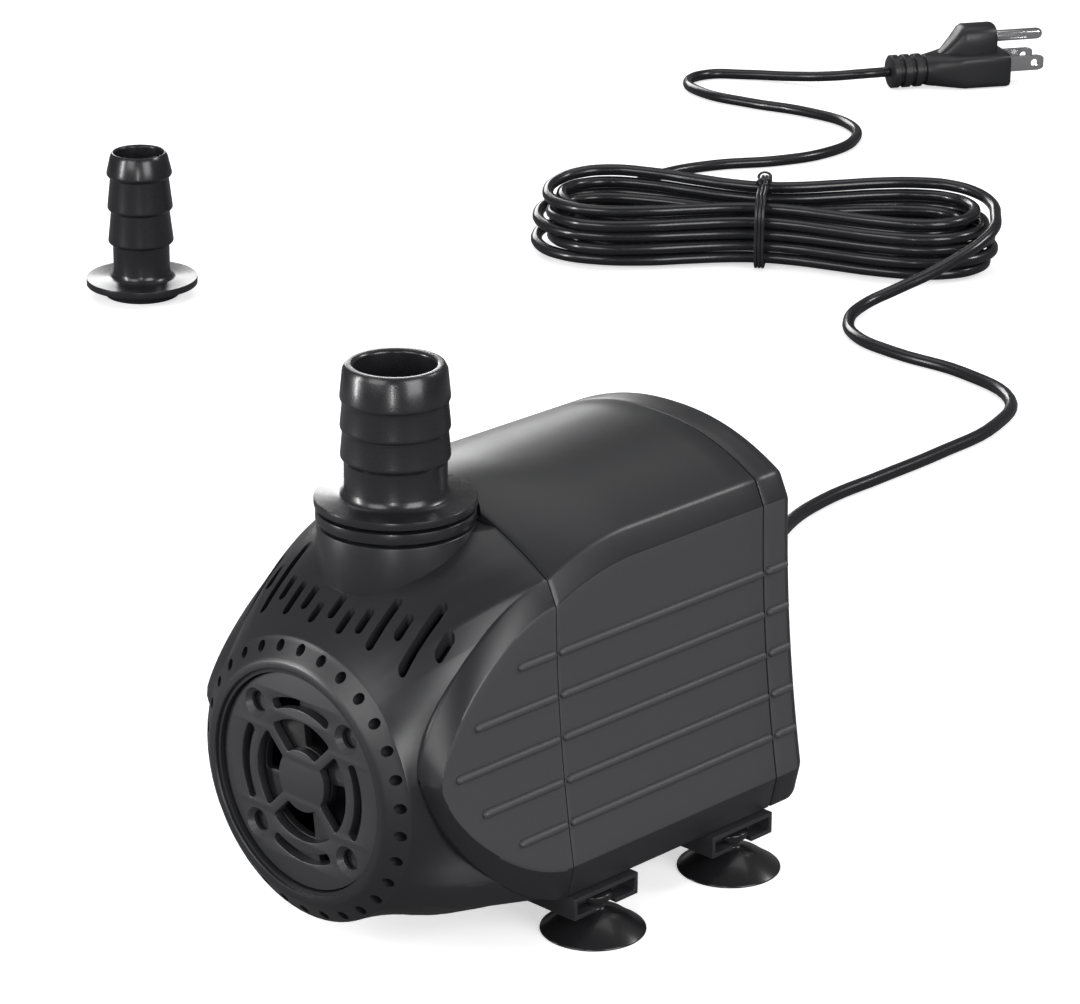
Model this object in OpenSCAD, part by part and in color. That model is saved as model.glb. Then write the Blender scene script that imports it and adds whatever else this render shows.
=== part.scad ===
// Submersible fountain pump: a magnetic-drive pump on four suction cups, with a slotted
// pre-filter cover, a turning intake dial, a barbed hose nozzle and a mains lead.
// X is across the pump, Y runs from the intake (front) to the lead (rear), Z is up.
// The origin is on the floor, midway between the four suction cups.

/* [Housing] */
// Length of the motor housing, from the front seam to the rear seam
housing_l = 74; // [66:1:90]
// Length of the rear cap
cap_l = 11.5; // [9:0.5:16]
// Height of the roof above the floor
roof_z = 110; // [107:0.5:114]
// Height of the roof at the front seam
brow_z = 107; // [106:0.1:108.5]
// Length over which the roof rises behind the front seam
brow_l = 18; // [12:1:26]
// Half-width at the crease between the roof and the side
crease_x = 36.2; // [35:0.1:37]
// Height of the crease at the rear
crease_z = 100; // [98:0.5:102]
// Drop of the crease at the front seam
crease_drop = 6; // [4:0.5:7]
// Height of the bevel under the crease
bevel_h = 6.2; // [4:0.1:8]
// Half-width of the side panel at mid height
side_w = 42; // [41:0.1:43]
// Outward lean of the side panel, per millimetre of drop
side_lean = 0.118; // [0.08:0.005:0.13]
// Height of the lower edge of the side panel
skirt_z = 22; // [20:0.5:24]
// Half-width of the underside
base_w = 43.8; // [43:0.1:44.5]
// Height of the underside above the floor
base_z = 13; // [12.5:0.1:15]
// Wall of the moulded shells
wall = 2.8; // [2:0.1:3.2]
// Gap at the seams between the shells
seam = 0.3; // [0.2:0.05:0.5]

/* [Side ribs] */
// Radius of the half-round ribs
rib_r = 1.15; // [0.8:0.05:1.4]
// Spacing of the ribs
rib_pitch = 10.8; // [9:0.1:11.5]
// Height of the lowest rib
rib_low_z = 33; // [31:0.5:36]

/* [Front cover] */
// Length of the front cover, from the outer edge of its nose ring to the seam
cover_l = 45; // [43:0.5:50]
// Radius of the nose ring
nose_r = 36; // [35.5:0.1:36.5]
// Width of the flat inner rim of the nose
rim_w = 2; // [1.4:0.1:2.6]
// Radial width of the sloping band with the small holes
band_w = 5.4; // [5:0.1:6]
// Depth of that slope along the pump
band_h = 4; // [3:0.1:4.5]
// Number of small holes in the band
band_holes = 30; // [24:2:34]
// Diameter of those holes
band_hole_d = 2.6; // [2:0.1:3]
// Number of slots across the nose
slots = 14; // [12:2:14]
// Spacing of the slots
slot_pitch = 4.7; // [4.4:0.1:5]
// Width of a slot
slot_w = 2.2; // [1.6:0.1:2.6]
// Length of the short slots
short_slot = 5.8; // [4.5:0.1:7]

/* [Intake] */
// Height of the pump's axis
axis_z = 45; // [44.5:0.1:46]
// Thickness of the turning dial
dial_t = 2.4; // [1.8:0.1:3]
// Depth of the dial behind the rim
dial_recess = 2; // [1.5:0.1:3]
// Thickness of the fixed regulator plate
plate_t = 2; // [1.5:0.1:3]
// Diameter of the dial's four countersunk holes
dial_hole_d = 5.2; // [4:0.1:5.6]
// Distance of those holes from the axis
dial_hole_at = 22.3; // [22:0.1:22.8]

/* [Outlet] */
// Distance of the outlet's axis ahead of the front seam
outlet_y = 15; // [14:0.1:15.5]
// Height of the flat platform round the outlet
platform_z = 102.7; // [102:0.1:103.2]
// Radius of the outlet boss
boss_r = 19.1; // [18:0.1:19.4]
// Depth of the boss
boss_h = 13; // [12:0.5:14]
// Radius of the collar above the boss
collar_r = 19.4; // [18.5:0.1:20]
// Thickness of the collar
collar_t = 2.7; // [2:0.1:3.2]
// Dark gap under and over the collar
collar_gap = 1.0; // [0.7:0.1:1.2]
// Radius of the hose nozzle's flange
flange_r = 19.75; // [18.5:0.05:20.5]
// Thickness of that flange
flange_t = 2; // [1.6:0.1:3]
// Radius of the nozzle's bore
nozzle_bore_r = 9.85; // [9:0.05:10.5]
// Radius of the nozzle's neck
neck_r = 12.45; // [12:0.05:12.8]
// Radius of the barbs' crests
barb_r = 13.3; // [13:0.05:13.8]
// Spacing of the barbs
barb_pitch = 7.3; // [6.5:0.1:7.6]
// Height of the nozzle above its flange
nozzle_h = 33.2; // [32:0.1:38]
// Radius of the spigot under the flange
spigot_r = 13.1; // [12.6:0.05:13.2]

/* [Spare nozzle] */
// Radius of the spare nozzle's neck
spare_neck_r = 10.05; // [9.5:0.05:10.5]
// Radius of its barbs' crests
spare_barb_r = 11.6; // [11:0.05:12.5]
// Spacing of its barbs
spare_pitch = 12.3; // [11:0.1:13]
// Height above its flange
spare_h = 46; // [44:0.5:50]
// Wall of the spare nozzle at its lip
spare_wall = 1.4; // [1:0.1:2]

/* [Feet] */
// Radius of a suction cup
cup_r = 13.2; // [12:0.1:14]
// Distance of the cups' middles inside the edge of the underside
cup_in = 2.5; // [1.8:0.1:3.5]
// Distance of the front cups behind the front seam
cup_front = 11.7; // [11.6:0.1:14]
// Distance of the rear cups ahead of the rear seam
cup_rear = 12.4; // [11.6:0.1:16]
// Half-length of a foot bracket
bracket_l = 11.3; // [10:0.1:11.3]
// Height of a foot bracket
bracket_h = 5.8; // [5.4:0.1:5.9]
// Depth of a foot bracket across the pump
bracket_w = 16.8; // [15:0.1:18]
// Wall of a foot bracket
bracket_wall = 1.2; // [1:0.1:1.4]

/* [Motor] */
// Radius of the rotor shaft
shaft_r = 2; // [1.5:0.1:2.5]
// Running clearance of the rotor on its shaft
shaft_gap = 0.05; // [0.02:0.01:0.1]
// Radius of the rotor magnet
rotor_r = 12.8; // [12:0.1:13.2]
// Length of the rotor magnet
rotor_l = 42; // [36:1:46]
// Gap between the rotor and its well
rotor_gap = 0.8; // [0.4:0.1:1]
// Wall of the rotor well
well_wall = 1.6; // [1.2:0.1:2]
// Radius of the impeller
impeller_r = 19; // [17:0.1:20]
// Number of impeller vanes
vanes = 6; // [5:1:8]
// Inner radius of the impeller chamber
chamber_r = 22; // [21:0.1:23]
// Wall of the impeller chamber
chamber_wall = 2.4; // [2:0.1:2.6]
// Radius of the chamber's inlet
inlet_r = 9; // [8:0.1:10]
// Depth of the stator's plates along the pump
stack_l = 26; // [20:1:30]

/* [Lead] */
// Diameter of the mains lead
cord_d = 4.2; // [4.2:0.1:5]
// Length of the strain relief behind the pump
relief_l = 24; // [20:1:30]

/* [Hidden] */
$fn = 64;

cup_x = base_w - cup_in;
cup_span = housing_l - cup_front - cup_rear;
// The front seam lies ahead of the origin by half the cups' span.
seam_y = -(cup_front + cup_span / 2);
rear_seam = housing_l;
rear_face = housing_l + cap_l;
flat_z = axis_z + 3;            // height at which the side panel is side_w wide
side_curve = 0.0012;            // curvature of the side panel
crease_l = 28;                  // length over which the crease rises
nose_y = -cover_l;
band_y = nose_y - band_h;       // front of the nose
rim_r = nose_r - band_w;        // outer radius of the flat rim
mouth_r = rim_r - rim_w;        // radius of the rim's inner edge
fit = 0.3;                      // clearance of parts that lie together
dial_r = mouth_r - 1.3;
dial_y = band_y + dial_recess;  // front face of the dial
plate_y = dial_y + dial_t + fit;
ledge_t = 1.6;                  // thickness of the ledge behind the regulator plate
boss_z = platform_z + 0.6;      // top of the outlet boss
relief_gap = 0.6;               // room round the flange in the housing's brow
outlet_r = spigot_r + fit;      // bore of the boss and the collar
collar_z = boss_z + collar_gap;
flange_z = collar_z + collar_t + collar_gap;
under_r = 15.5;                 // radius of the necks in the dark gaps
well_r = rotor_r + rotor_gap;
well_end = rotor_l + 14;        // inner end of the rotor well
well_out = well_r + well_wall;
front_wall = 3;                 // wall round the mouth of the rotor well
chamber_l = 28;                 // depth of the impeller chamber
chamber_y = -chamber_l - 1.5;   // front of the chamber
seal_t = 1.5;
pipe_r = 12.6;                  // outer radius of the chamber's outlet pipe
pipe_z = boss_z - boss_h - 2;   // top of that pipe
back_y = housing_l - 6;         // rear face of the potting compound

function lerp(a, b, t) = a + (b - a) * t;
function ramp(t) = min(max(t, 0), 1);
function side_x(z) = side_w - side_lean * (z - flat_z) + side_curve * pow(z - flat_z, 2);
function front_t(y, l) = 1 - ramp(y / l);
function roof_at(y) = roof_z - (roof_z - brow_z) * pow(front_t(y, brow_l), 2);
function crease_at(y) = crease_z - crease_drop * pow(front_t(y, crease_l), 2);
function arch_power(y) = 2.2 - 0.4 * front_t(y, crease_l);

// Half of the housing's outline at a station y, from the roof's middle to the base's.
function half_outline(y, inset) = let(
        top = roof_at(y) - inset, cx = crease_x - inset, cz = crease_at(y) - inset * 0.7,
        z2 = cz - bevel_h, z3 = skirt_z + inset * 0.5)
    concat(
        [for (i = [0 : 9]) [cx * i / 9, top - (top - cz) * pow(i / 9, arch_power(y))]],
        [for (i = [0 : 7]) let(z = lerp(z2, z3, i / 7)) [side_x(z) - inset, z]],
        [[base_w - inset, base_z + inset]],
        [for (i = [1 : 5]) [(base_w - inset) * (1 - i / 5), base_z + inset]]);
function mirrored(half) =
    concat(half, [for (i = [len(half) - 2 : -1 : 1]) [-half[i][0], half[i][1]]]);
function outline(y, inset = 0) = mirrored(half_outline(y, inset));
function station(y, inset = 0, at = undef) =
    [for (p = outline(is_undef(at) ? y : at, inset)) [p[0], y, p[1]]];

// The cover's neck: the nose ring grows into the housing's outline along each radius.
function neck_grow(angle, t) = let(up = ramp((angle - 38) / 30))
    lerp(pow(t, 1.6), 1 - pow(1 - t, 1.6), up);
function neck_station(y, inset = 0) = let(t = ramp((y - nose_y) / cover_l))
    [for (p = outline(0)) let(
        rise = p[1] - axis_z, a = atan2(rise, abs(p[0])), r = norm([p[0], rise]),
        r_here = lerp(nose_r, r, neck_grow(a, t)) - inset, u = [p[0], rise] / r)
        [u[0] * r_here, y, axis_z + u[1] * r_here]];
function ring_station(y, r) = [for (p = outline(0)) let(rise = p[1] - axis_z,
    u = [p[0], rise] / norm([p[0], rise])) [u[0] * r, y, axis_z + u[1] * r]];

// The raised side panel's bullet outline on the cover, as a share of its half-height.
function bullet(t) = pow(1 - pow(1 - ramp(t), 1.6), 0.68);
function panel_station(y) = let(
        outer_l = cover_l - 0.4, inner_l = cover_l - 4.7, tip_z = axis_z + 11,
        out = bullet((y + outer_l) / outer_l), in = bullet((y + inner_l) / inner_l),
        top = crease_at(0), low = base_z, top_in = top - bevel_h,
        oh = lerp(tip_z, top, out), ol = lerp(tip_z, low, out),
        ih = lerp(tip_z - 1, top_in, in), il = lerp(tip_z - 1, skirt_z, in),
        drop_h = side_x(top) - crease_x, drop_l = side_x(low) - base_w,
        lift = ramp((y + outer_l) / (outer_l - inner_l)), deep = nose_r - 8)
    [for (p = concat([[deep, oh], [side_x(oh) - drop_h, oh]],
        [for (i = [0 : 5]) let(z = lerp(ih, il, i / 5)) [side_x(z) - drop_h * (1 - lift), z]],
        [[side_x(ol) - drop_l, ol], [deep, ol]])) [p[0], y, p[1]]];

// A closed solid through rings of equally many points, in order of rising y.
module loft(rings) {
    n = len(rings[0]);
    m = len(rings);
    polyhedron(
        points = [for (r = rings) each r],
        faces = concat(
            [[for (i = [0 : n - 1]) i]],
            [for (j = [0 : m - 2], i = [0 : n - 1]) let(k = (i + 1) % n)
                [j * n + i, (j + 1) * n + i, (j + 1) * n + k]],
            [for (j = [0 : m - 2], i = [0 : n - 1]) let(k = (i + 1) % n)
                [j * n + i, (j + 1) * n + k, j * n + k]],
            [[for (i = [n - 1 : -1 : 0]) (m - 1) * n + i]]));
}

module at_seam() translate([0, seam_y, 0]) children();
module on_axis(y = 0) translate([0, y, axis_z]) rotate([-90, 0, 0]) children();
module disc(y, l, r) on_axis(y) cylinder(h = l, r = r);
module both_sides() { children(); mirror([1, 0, 0]) children(); }

// A flat ring sector with square ends, centred on an angle.
end_step = 0.05;                // step of a slot's round end inside its sides
module sector(r1, r2, width, middle) {
    reach = 2 * r2;
    intersection() {
        difference() { circle(r2); circle(r1); }
        rotate(middle - width / 2) polygon([[0, 0], [reach, 0],
            [reach * cos(width / 2), reach * sin(width / 2)],
            [reach * cos(width), reach * sin(width)]]);
    }
}
module round_slot(r1, r2, width, middle) {
    mid = (r1 + r2) / 2;
    sector(r1, r2, width, middle);
    for (s = [-0.5, 0.5]) rotate(middle + s * width) translate([mid, 0])
        circle((r2 - r1) / 2 - end_step, $fn = 24);
}
module stadium(l, w) {
    square([w, l], center = true);
    for (s = [-0.5, 0.5]) translate([0, s * l]) circle(w / 2, $fn = 16);
}

// Half-round ribs along both sides, from y1 to y2, with round ends where one starts.
rib_start = [-17.2, -28.1, -35.7, -28.6, -13.6];
rib_notch = 0.5;                // distance at which a rib stops short of a seam
function rib_z(i) = rib_low_z + i * rib_pitch;
module ribs(y1, y2) {
    both_sides() for (i = [0 : 4]) {
        z = rib_z(i);
        from = is_undef(y1) ? rib_start[i] : y1;
        translate([side_x(z), from, z]) {
            rotate([-90, 0, 0]) cylinder(h = y2 - from, r = rib_r, $fn = 24);
            if (is_undef(y1)) sphere(rib_r, $fn = 24);
        }
    }
}

// Main shell with the moulded rotor well.
module motor_housing() color("#3a3a3c") at_seam() {
    difference() {
        union() {
            loft([for (y = [0, 4, 9, 13.5, brow_l, crease_l, 50, rear_seam]) station(y)]);
            ribs(rib_notch, rear_seam - rib_notch);
        }
        difference() {
            loft([for (y = [front_wall, brow_l, crease_l, rear_seam + 1])
                station(y, wall, min(y, rear_seam))]);
            disc(0, well_end + well_wall, well_out);
            flange_relief(wall);
        }
        disc(-1, well_end + 1, well_r);
        flange_relief(0);
    }
}
module flange_relief(grow) translate([0, -outlet_y, boss_z - grow])
    cylinder(h = roof_z, r = flange_r + relief_gap + grow);

module rear_cap() color("#3a3a3c") at_seam() {
    y0 = rear_seam + seam;
    difference() {
        union() {
            loft([station(y0, 0, rear_seam), station(rear_face - 5, 0, rear_seam),
                station(rear_face - 2, 0.7, rear_seam), station(rear_face, 2.6, rear_seam)]);
            ribs(y0 + rib_notch, rear_face - 4);
        }
        loft([station(y0 - 1, wall, rear_seam), station(rear_face - wall - 2.5, wall, rear_seam),
            station(rear_face - wall, wall + 2, rear_seam)]);
        translate([0, rear_face - wall - 1, gland_z]) rotate([-90, 0, 0])
            cylinder(h = wall + 2, r = gland_r + 0.1);
    }
}

// Pre-filter cover: nose ring, hole band, slotted neck, raised side panels and boss.
function slot_x(i) = (i - (slots - 1) / 2) * slot_pitch;
slot_low = 3.4;                 // distance of the middle slots from the nose ring's edge
slot_bow = 0.004;               // curvature of the line of those ends
slot_end = [25, 23.5];          // upper ends ahead of the seam: by the boss, beside it
short_at = 8.4;                 // distance of the short slots from that edge
short_flat = 13;                // half-width over which they stay at that distance
short_slope = 0.45;             // slope of their line further out
boss_room = 2.6;                // distance between the boss and the slots
function boss_clear(x) = -outlet_y - sqrt(max(pow(boss_r + boss_room, 2) - x * x, 0));
function long_low(x) = nose_y + slot_low + slot_bow * x * x;
function long_high(x) = abs(x) < boss_r ? min(boss_clear(x), -slot_end[0]) : -slot_end[1];
function short_mid(x) = nose_y + short_at + short_slope * max(abs(x) - short_flat, 0);
module nose_slots() {
    for (i = [0 : slots - 1]) {
        x = slot_x(i);
        is_long = i % 2 == 0;
        low = is_long ? long_low(x) : short_mid(x) - short_slot / 2;
        high = is_long ? long_high(x) : short_mid(x) + short_slot / 2;
        translate([x, (low + high) / 2, 0])
            linear_extrude(roof_z) stadium(high - low - slot_w, slot_w);
    }
}
hole_in = 2.1;                  // distance of the small holes inside the nose ring's edge
module front_cover() color("#343436") at_seam() {
    difference() {
        union() {
            difference() {
                union() {
                    loft(concat([ring_station(band_y, rim_r)],
                        [for (y = [nose_y, -42, -38, -33, -27, -20, -12, -5, -seam])
                            neck_station(y)]));
                    both_sides() loft([for (y = [-44.4, -43, -41.5, -40, -36.5, -31, -23, -12, -seam])
                        panel_station(y)]);
                    ribs(undef, -seam - rib_notch);
                }
                loft(concat([ring_station(plate_y + plate_t + fit + ledge_t, nose_r - wall)],
                    [for (y = [-37, -30, -20, -10, 1]) neck_station(y, wall)]));
                translate([-side_w, -cover_l, platform_z]) cube([2 * side_w, cover_l, roof_z]);
            }
            difference() {
                translate([0, -outlet_y, boss_z - boss_h]) cylinder(h = boss_h, r = boss_r);
                translate([-boss_r, -seam, 0]) cube([2 * boss_r, boss_r, roof_z]);
            }
            translate([-boss_r, -outlet_y, boss_z - boss_h])
                cube([2 * boss_r, outlet_y - seam, platform_z - boss_z + boss_h]);
        }
        translate([0, -outlet_y, boss_z - boss_h - 1]) cylinder(h = boss_h + 2, r = outlet_r);
        nose_slots();
        on_axis(band_y - 1) for (i = [0 : band_holes - 1]) rotate((i + 0.5) * 360 / band_holes)
            translate([nose_r - hole_in, 0]) cylinder(h = cover_l / 4, d = band_hole_d, $fn = 16);
        disc(band_y - 1, plate_y + plate_t - band_y + 1 + fit, dial_r + fit);
        disc(band_y - 1, cover_l / 2, dial_r - 2);
        disc(band_y - 0.01, 0.8, mouth_r);
    }
}

arc_r = [18.4, 21];             // inner and outer radius of the dial's curved slots
arc_angle = 52;                 // angle that each of them spans
hub_r = 7.4;                    // radius of the hub
window_r = 15.5;                // outer radius of the four windows
spoke_w = 2.6;
sink_w = 4.4;                   // width that the countersinks add to the holes
module intake_dial() color("#3c3c3e") at_seam() {
    difference() {
        on_axis(dial_y) linear_extrude(dial_t) difference() {
            circle(dial_r);
            for (a = [0 : 90 : 270]) {
                round_slot(arc_r[0], arc_r[1], arc_angle, a);
                difference() {
                    sector(hub_r, window_r, 90, a);
                    for (s = [-45, 45]) rotate(a + s) square([3 * window_r, spoke_w], center = true);
                }
            }
        }
        for (a = [45 : 90 : 315]) on_axis(dial_y) rotate(a) translate([dial_hole_at, 0, -1]) {
            cylinder(h = dial_t + 2, d = dial_hole_d, $fn = 32);
            cylinder(h = 2.4, d1 = dial_hole_d + sink_w, d2 = dial_hole_d - 0.4, $fn = 32);
        }
    }
}

plate_window = [8, 15.2];       // inner and outer radius of the plate's inner openings
plate_arc = [17.6, 21.2];       // the same of its outer openings
plate_spans = [54, 30];         // angles that they span
plate_turns = [20, 66];         // and by which they are turned from the dial's
module regulator_plate() color("#2a2a2c") at_seam() {
    on_axis(plate_y) linear_extrude(plate_t) difference() {
        circle(dial_r);
        for (a = [0 : 90 : 270]) {
            sector(plate_window[0], plate_window[1], plate_spans[0], a + plate_turns[0]);
            sector(plate_arc[0], plate_arc[1], plate_spans[1], a + plate_turns[1]);
        }
    }
}

// Volute with its inlet, shaft spider and vertical outlet pipe.
module impeller_chamber() color("#2e2e30") at_seam() {
    outer = chamber_r + chamber_wall;
    difference() {
        union() {
            disc(chamber_y, chamber_l, outer);
            translate([0, -outlet_y, axis_z]) cylinder(h = pipe_z - axis_z, r = pipe_r);
        }
        disc(chamber_y + chamber_wall, chamber_l, chamber_r);
        translate([0, -outlet_y, axis_z + 8]) cylinder(h = pipe_z, r = nozzle_bore_r);
        on_axis(chamber_y - 1) linear_extrude(chamber_wall + 2) difference() {
            circle(inlet_r);
            circle(bush_r + fit + 1.4);
            for (a = [90, 210, 330]) rotate(a) translate([0, -1]) square([inlet_r + 1, 2]);
        }
        disc(chamber_y - 1, chamber_wall + 2, bush_r);
    }
}
bush_r = shaft_r + 1.6;
bush_l = chamber_wall;
rotor_y = -2;                                   // front face of the rotor magnet
hub_y = chamber_y + chamber_wall + 0.5;         // front face of the impeller's hub

module chamber_seal() color("#161616") at_seam()
    on_axis(-seal_t) rotate_extrude() translate([chamber_r + chamber_wall / 2 - 0.9, 0])
        square([1.8, seal_t]);
module outlet_seal() color("#161616") at_seam()
    translate([0, -outlet_y, pipe_z]) rotate_extrude() translate([nozzle_bore_r + 0.4, 0])
        square([pipe_r - nozzle_bore_r - 0.8, 1.7]);

module outlet_collar() color("#2c2c2e") at_seam() translate([0, -outlet_y, 0]) difference() {
    union() {
        translate([0, 0, boss_z]) cylinder(h = flange_z - boss_z, r = under_r);
        translate([0, 0, collar_z]) cylinder(h = collar_t, r = collar_r);
    }
    translate([0, 0, boss_z - 1]) cylinder(h = flange_z - boss_z + 2, r = outlet_r);
}

barb_step = 1.3;                // height of a barb's slope under its crest
barb_land = 0.5;                // height of the crest
lip_in = 0.9;                   // chamfer of the nozzle's lip
// A barbed tail: pairs of radius and height above the flange's underside.
function barbs(neck, crest, first, pitch, count, step) =
    [for (i = [0 : count - 1]) each [[neck + 0.1, first + i * pitch - step],
        [crest, first + i * pitch], [crest, first + i * pitch + barb_land]]];
module nozzle(flange, flange_thick, neck, crest, bore, height, first, pitch, spigot, drop) {
    top = flange_thick + height;
    rotate_extrude() polygon(concat(
        [[bore, -drop], [spigot, -drop], [spigot, 0], [flange, 0], [flange, flange_thick],
            [neck + 1.9, flange_thick], [neck + 0.8, flange_thick + 1.2], [neck, flange_thick + 2]],
        barbs(neck, crest, first, pitch, 3, barb_step),
        [[neck, first + 2 * pitch + pitch * 0.8], [neck, top - lip_in],
            [neck - lip_in, top], [bore, top]]));
}
first_barb = 10.2;              // height of the lowest crest above the flange
module hose_nozzle() color("#202022") at_seam() translate([0, -outlet_y, flange_z])
    nozzle(flange_r, flange_t, neck_r, barb_r, nozzle_bore_r, nozzle_h, flange_t + first_barb,
        barb_pitch, spigot_r, flange_z - boss_z + boss_h - 1);

spare_at = [-424, 267];
spare_spigot = 3.9;
spare_flange_t = 2.5;
spare_first = 13.5;             // height of its lowest crest above the flange
module spare_nozzle() color("#202022") at_seam()
    translate([spare_at[0], spare_at[1], spare_spigot])
        nozzle(flange_r, spare_flange_t, spare_neck_r, spare_barb_r, spare_neck_r - spare_wall,
            spare_h, spare_flange_t + spare_first, spare_pitch, spigot_r, spare_spigot);

// Rotating parts: straight vanes, because this kind of motor starts either way.
hub_out = 5.2;                  // radius of the impeller's hub
vane_t = 1.6;
disc_t = 2;                     // thickness of the impeller's rear disc
module impeller() color("#e4e4df") at_seam() difference() {
    union() {
        disc(hub_y, -hub_y + rotor_y, hub_out);
        disc(rotor_y - disc_t, disc_t, impeller_r);
        for (i = [0 : vanes - 1]) on_axis(hub_y + 3) rotate(i * 360 / vanes)
            translate([3, -vane_t / 2, 0])
                cube([impeller_r - 3.2, vane_t, rotor_y - 1 - hub_y - 3]);
    }
    disc(hub_y - 1, -hub_y + 3, shaft_r + shaft_gap);
}
module rotor_magnet() color("#4a4a4e") at_seam() difference() {
    disc(rotor_y, rotor_l, rotor_r);
    disc(rotor_y - 1, rotor_l + 2, shaft_r + shaft_gap);
}
shaft_end = well_end - 1;
module rotor_shaft() color("#f0ece0") at_seam()
    disc(chamber_y + 0.4, shaft_end - chamber_y - 0.4, shaft_r);
module front_bush() color("#1a1a1a") at_seam() difference() {
    disc(chamber_y, bush_l, bush_r);
    disc(chamber_y - 1, bush_l + 2, shaft_r + 0.02);
}
module rear_bush() color("#1a1a1a") at_seam() difference() {
    disc(well_end - 8, 8, 6);
    disc(well_end - 9, 10, shaft_r + 0.02);
}

// Stator: a stack of plates round the well, with two coil legs above it.
stack_y = 14;
leg_in = 10;
leg_out = 23;
pole_w = 26;
pole_top = axis_z + 19;
yoke_z = 89;
yoke_top = 97;
module stator_outline() {
    difference() {
        union() {
            translate([-pole_w, axis_z - 20]) square([2 * pole_w, pole_top - axis_z + 20]);
            for (s = [-1, 1]) translate([s < 0 ? -leg_out : leg_in, pole_top - 1])
                square([leg_out - leg_in, yoke_z - pole_top + 2]);
            translate([-leg_out, yoke_z]) square([2 * leg_out, yoke_top - yoke_z]);
        }
        translate([0, axis_z]) circle(well_out + fit);
    }
}
module stack(grow = 0) translate([0, stack_y + stack_l + grow, 0]) rotate([90, 0, 0])
    linear_extrude(stack_l + 2 * grow) children();
module stator_core() color("#7c7f84") at_seam() stack() stator_outline();
// A rectangular sleeve round one leg, from grow_in to grow_out outside it.
module sleeve(side, grow_in, grow_out, z1, z2) {
    x1 = side < 0 ? -leg_out : leg_in;
    module block(g, a, b) translate([x1 - g, stack_y - g, a])
        cube([leg_out - leg_in + 2 * g, stack_l + 2 * g, b - a]);
    difference() { block(grow_out, z1, z2); block(grow_in, z1 - 1, z2 + 1); }
}
bobbin_wall = 1.2;
coil_t = 3.6;
module bobbin(side) {
    sleeve(side, 0, bobbin_wall, pole_top, yoke_z);
    for (z = [pole_top, yoke_z - bobbin_wall])
        sleeve(side, bobbin_wall - 0.5, bobbin_wall + coil_t + 0.6, z, z + bobbin_wall);
}
module coil(side) sleeve(side, bobbin_wall, bobbin_wall + coil_t, pole_top + bobbin_wall,
    yoke_z - bobbin_wall);
module bobbin_left() color("#d9d4c4") at_seam() bobbin(-1);
module bobbin_right() color("#d9d4c4") at_seam() bobbin(1);
module coil_left() color("#b5651d") at_seam() coil(-1);
module coil_right() color("#b5651d") at_seam() coil(1);
module potting_compound() color("#141414") at_seam() difference() {
    loft([for (y = [front_wall, brow_l, crease_l, back_y]) station(y, wall + 0.1)]);
    disc(0, well_end + well_wall + fit, well_out + fit);
    flange_relief(wall + fit);
    stack() stator_outline();
    for (s = [-1, 1]) sleeve(s, 0, bobbin_wall + coil_t + 0.6, pole_top, yoke_z);
}

// Foot bracket: an open box under the housing that holds a cup's head.
bracket_z = base_z - bracket_h;
bracket_x = cup_x + 4.5;
neck_hole_r = 3.2;
head_r = 4.6;                   // head of a suction cup, with its two wings
wing_l = 15;
wing_w = 3.2;
function cup_y(rear) = cup_front + (rear ? cup_span : 0);
module foot_bracket(side, rear) color("#2a2a2c") at_seam() mirror([side < 0 ? 1 : 0, 0, 0])
    translate([0, cup_y(rear), bracket_z]) difference() {
        translate([bracket_x - bracket_w, -bracket_l, 0]) cube([bracket_w, 2 * bracket_l, bracket_h]);
        translate([bracket_x - bracket_w + bracket_wall, -bracket_l + bracket_wall, bracket_wall])
            cube([bracket_w, 2 * (bracket_l - bracket_wall), bracket_h - 2 * bracket_wall]);
        translate([cup_x, 0, -1]) cylinder(h = bracket_wall + 2, r = neck_hole_r, $fn = 32);
        translate([cup_x, -neck_hole_r, -1]) cube([bracket_w, 2 * neck_hole_r, bracket_wall + 2]);
    }
module suction_cup(side, rear) color("#1c1c1e") at_seam() mirror([side < 0 ? 1 : 0, 0, 0])
    translate([cup_x, cup_y(rear), 0]) {
        head_z = bracket_z + bracket_wall + fit;
        rotate_extrude() polygon([[0, 2.2], [5, 1.8], [9, 0.9], [cup_r - 0.8, 0], [cup_r, 0],
            [cup_r, 0.5], [cup_r - 2.2, 1.9], [8.6, 3.7], [5.2, 5.2], [3.6, 5.9], [2.8, 6.4],
            [2.8, head_z], [head_r, head_z], [head_r, head_z + 1.6], [3, head_z + 2.4],
            [0, head_z + 2.4]]);
        translate([-wing_w / 2, -wing_l / 2, head_z]) cube([wing_w, wing_l, 1.6]);
    }
module foot_bracket_fl() foot_bracket(-1, false);
module foot_bracket_fr() foot_bracket(1, false);
module foot_bracket_rl() foot_bracket(-1, true);
module foot_bracket_rr() foot_bracket(1, true);
module suction_cup_fl() suction_cup(-1, false);
module suction_cup_fr() suction_cup(1, false);
module suction_cup_rl() suction_cup(-1, true);
module suction_cup_rr() suction_cup(1, true);

// Mains lead: strain relief, lead, hank, tail, tie and plug.
gland_z = 40;
gland_r = 5;
module cord_gland() color("#1c1c1e") at_seam() translate([0, rear_face, gland_z])
    rotate([-90, 0, 0]) {
        translate([0, 0, -wall - 1.5]) cylinder(h = wall + 1.5, r = gland_r);
        translate([0, 0, 0]) cylinder(h = 2, r = gland_r + 1.6);
        translate([0, 0, 2]) cylinder(h = relief_l - 2, r1 = gland_r - 0.4, r2 = cord_d / 2 + 0.7);
    }

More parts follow.
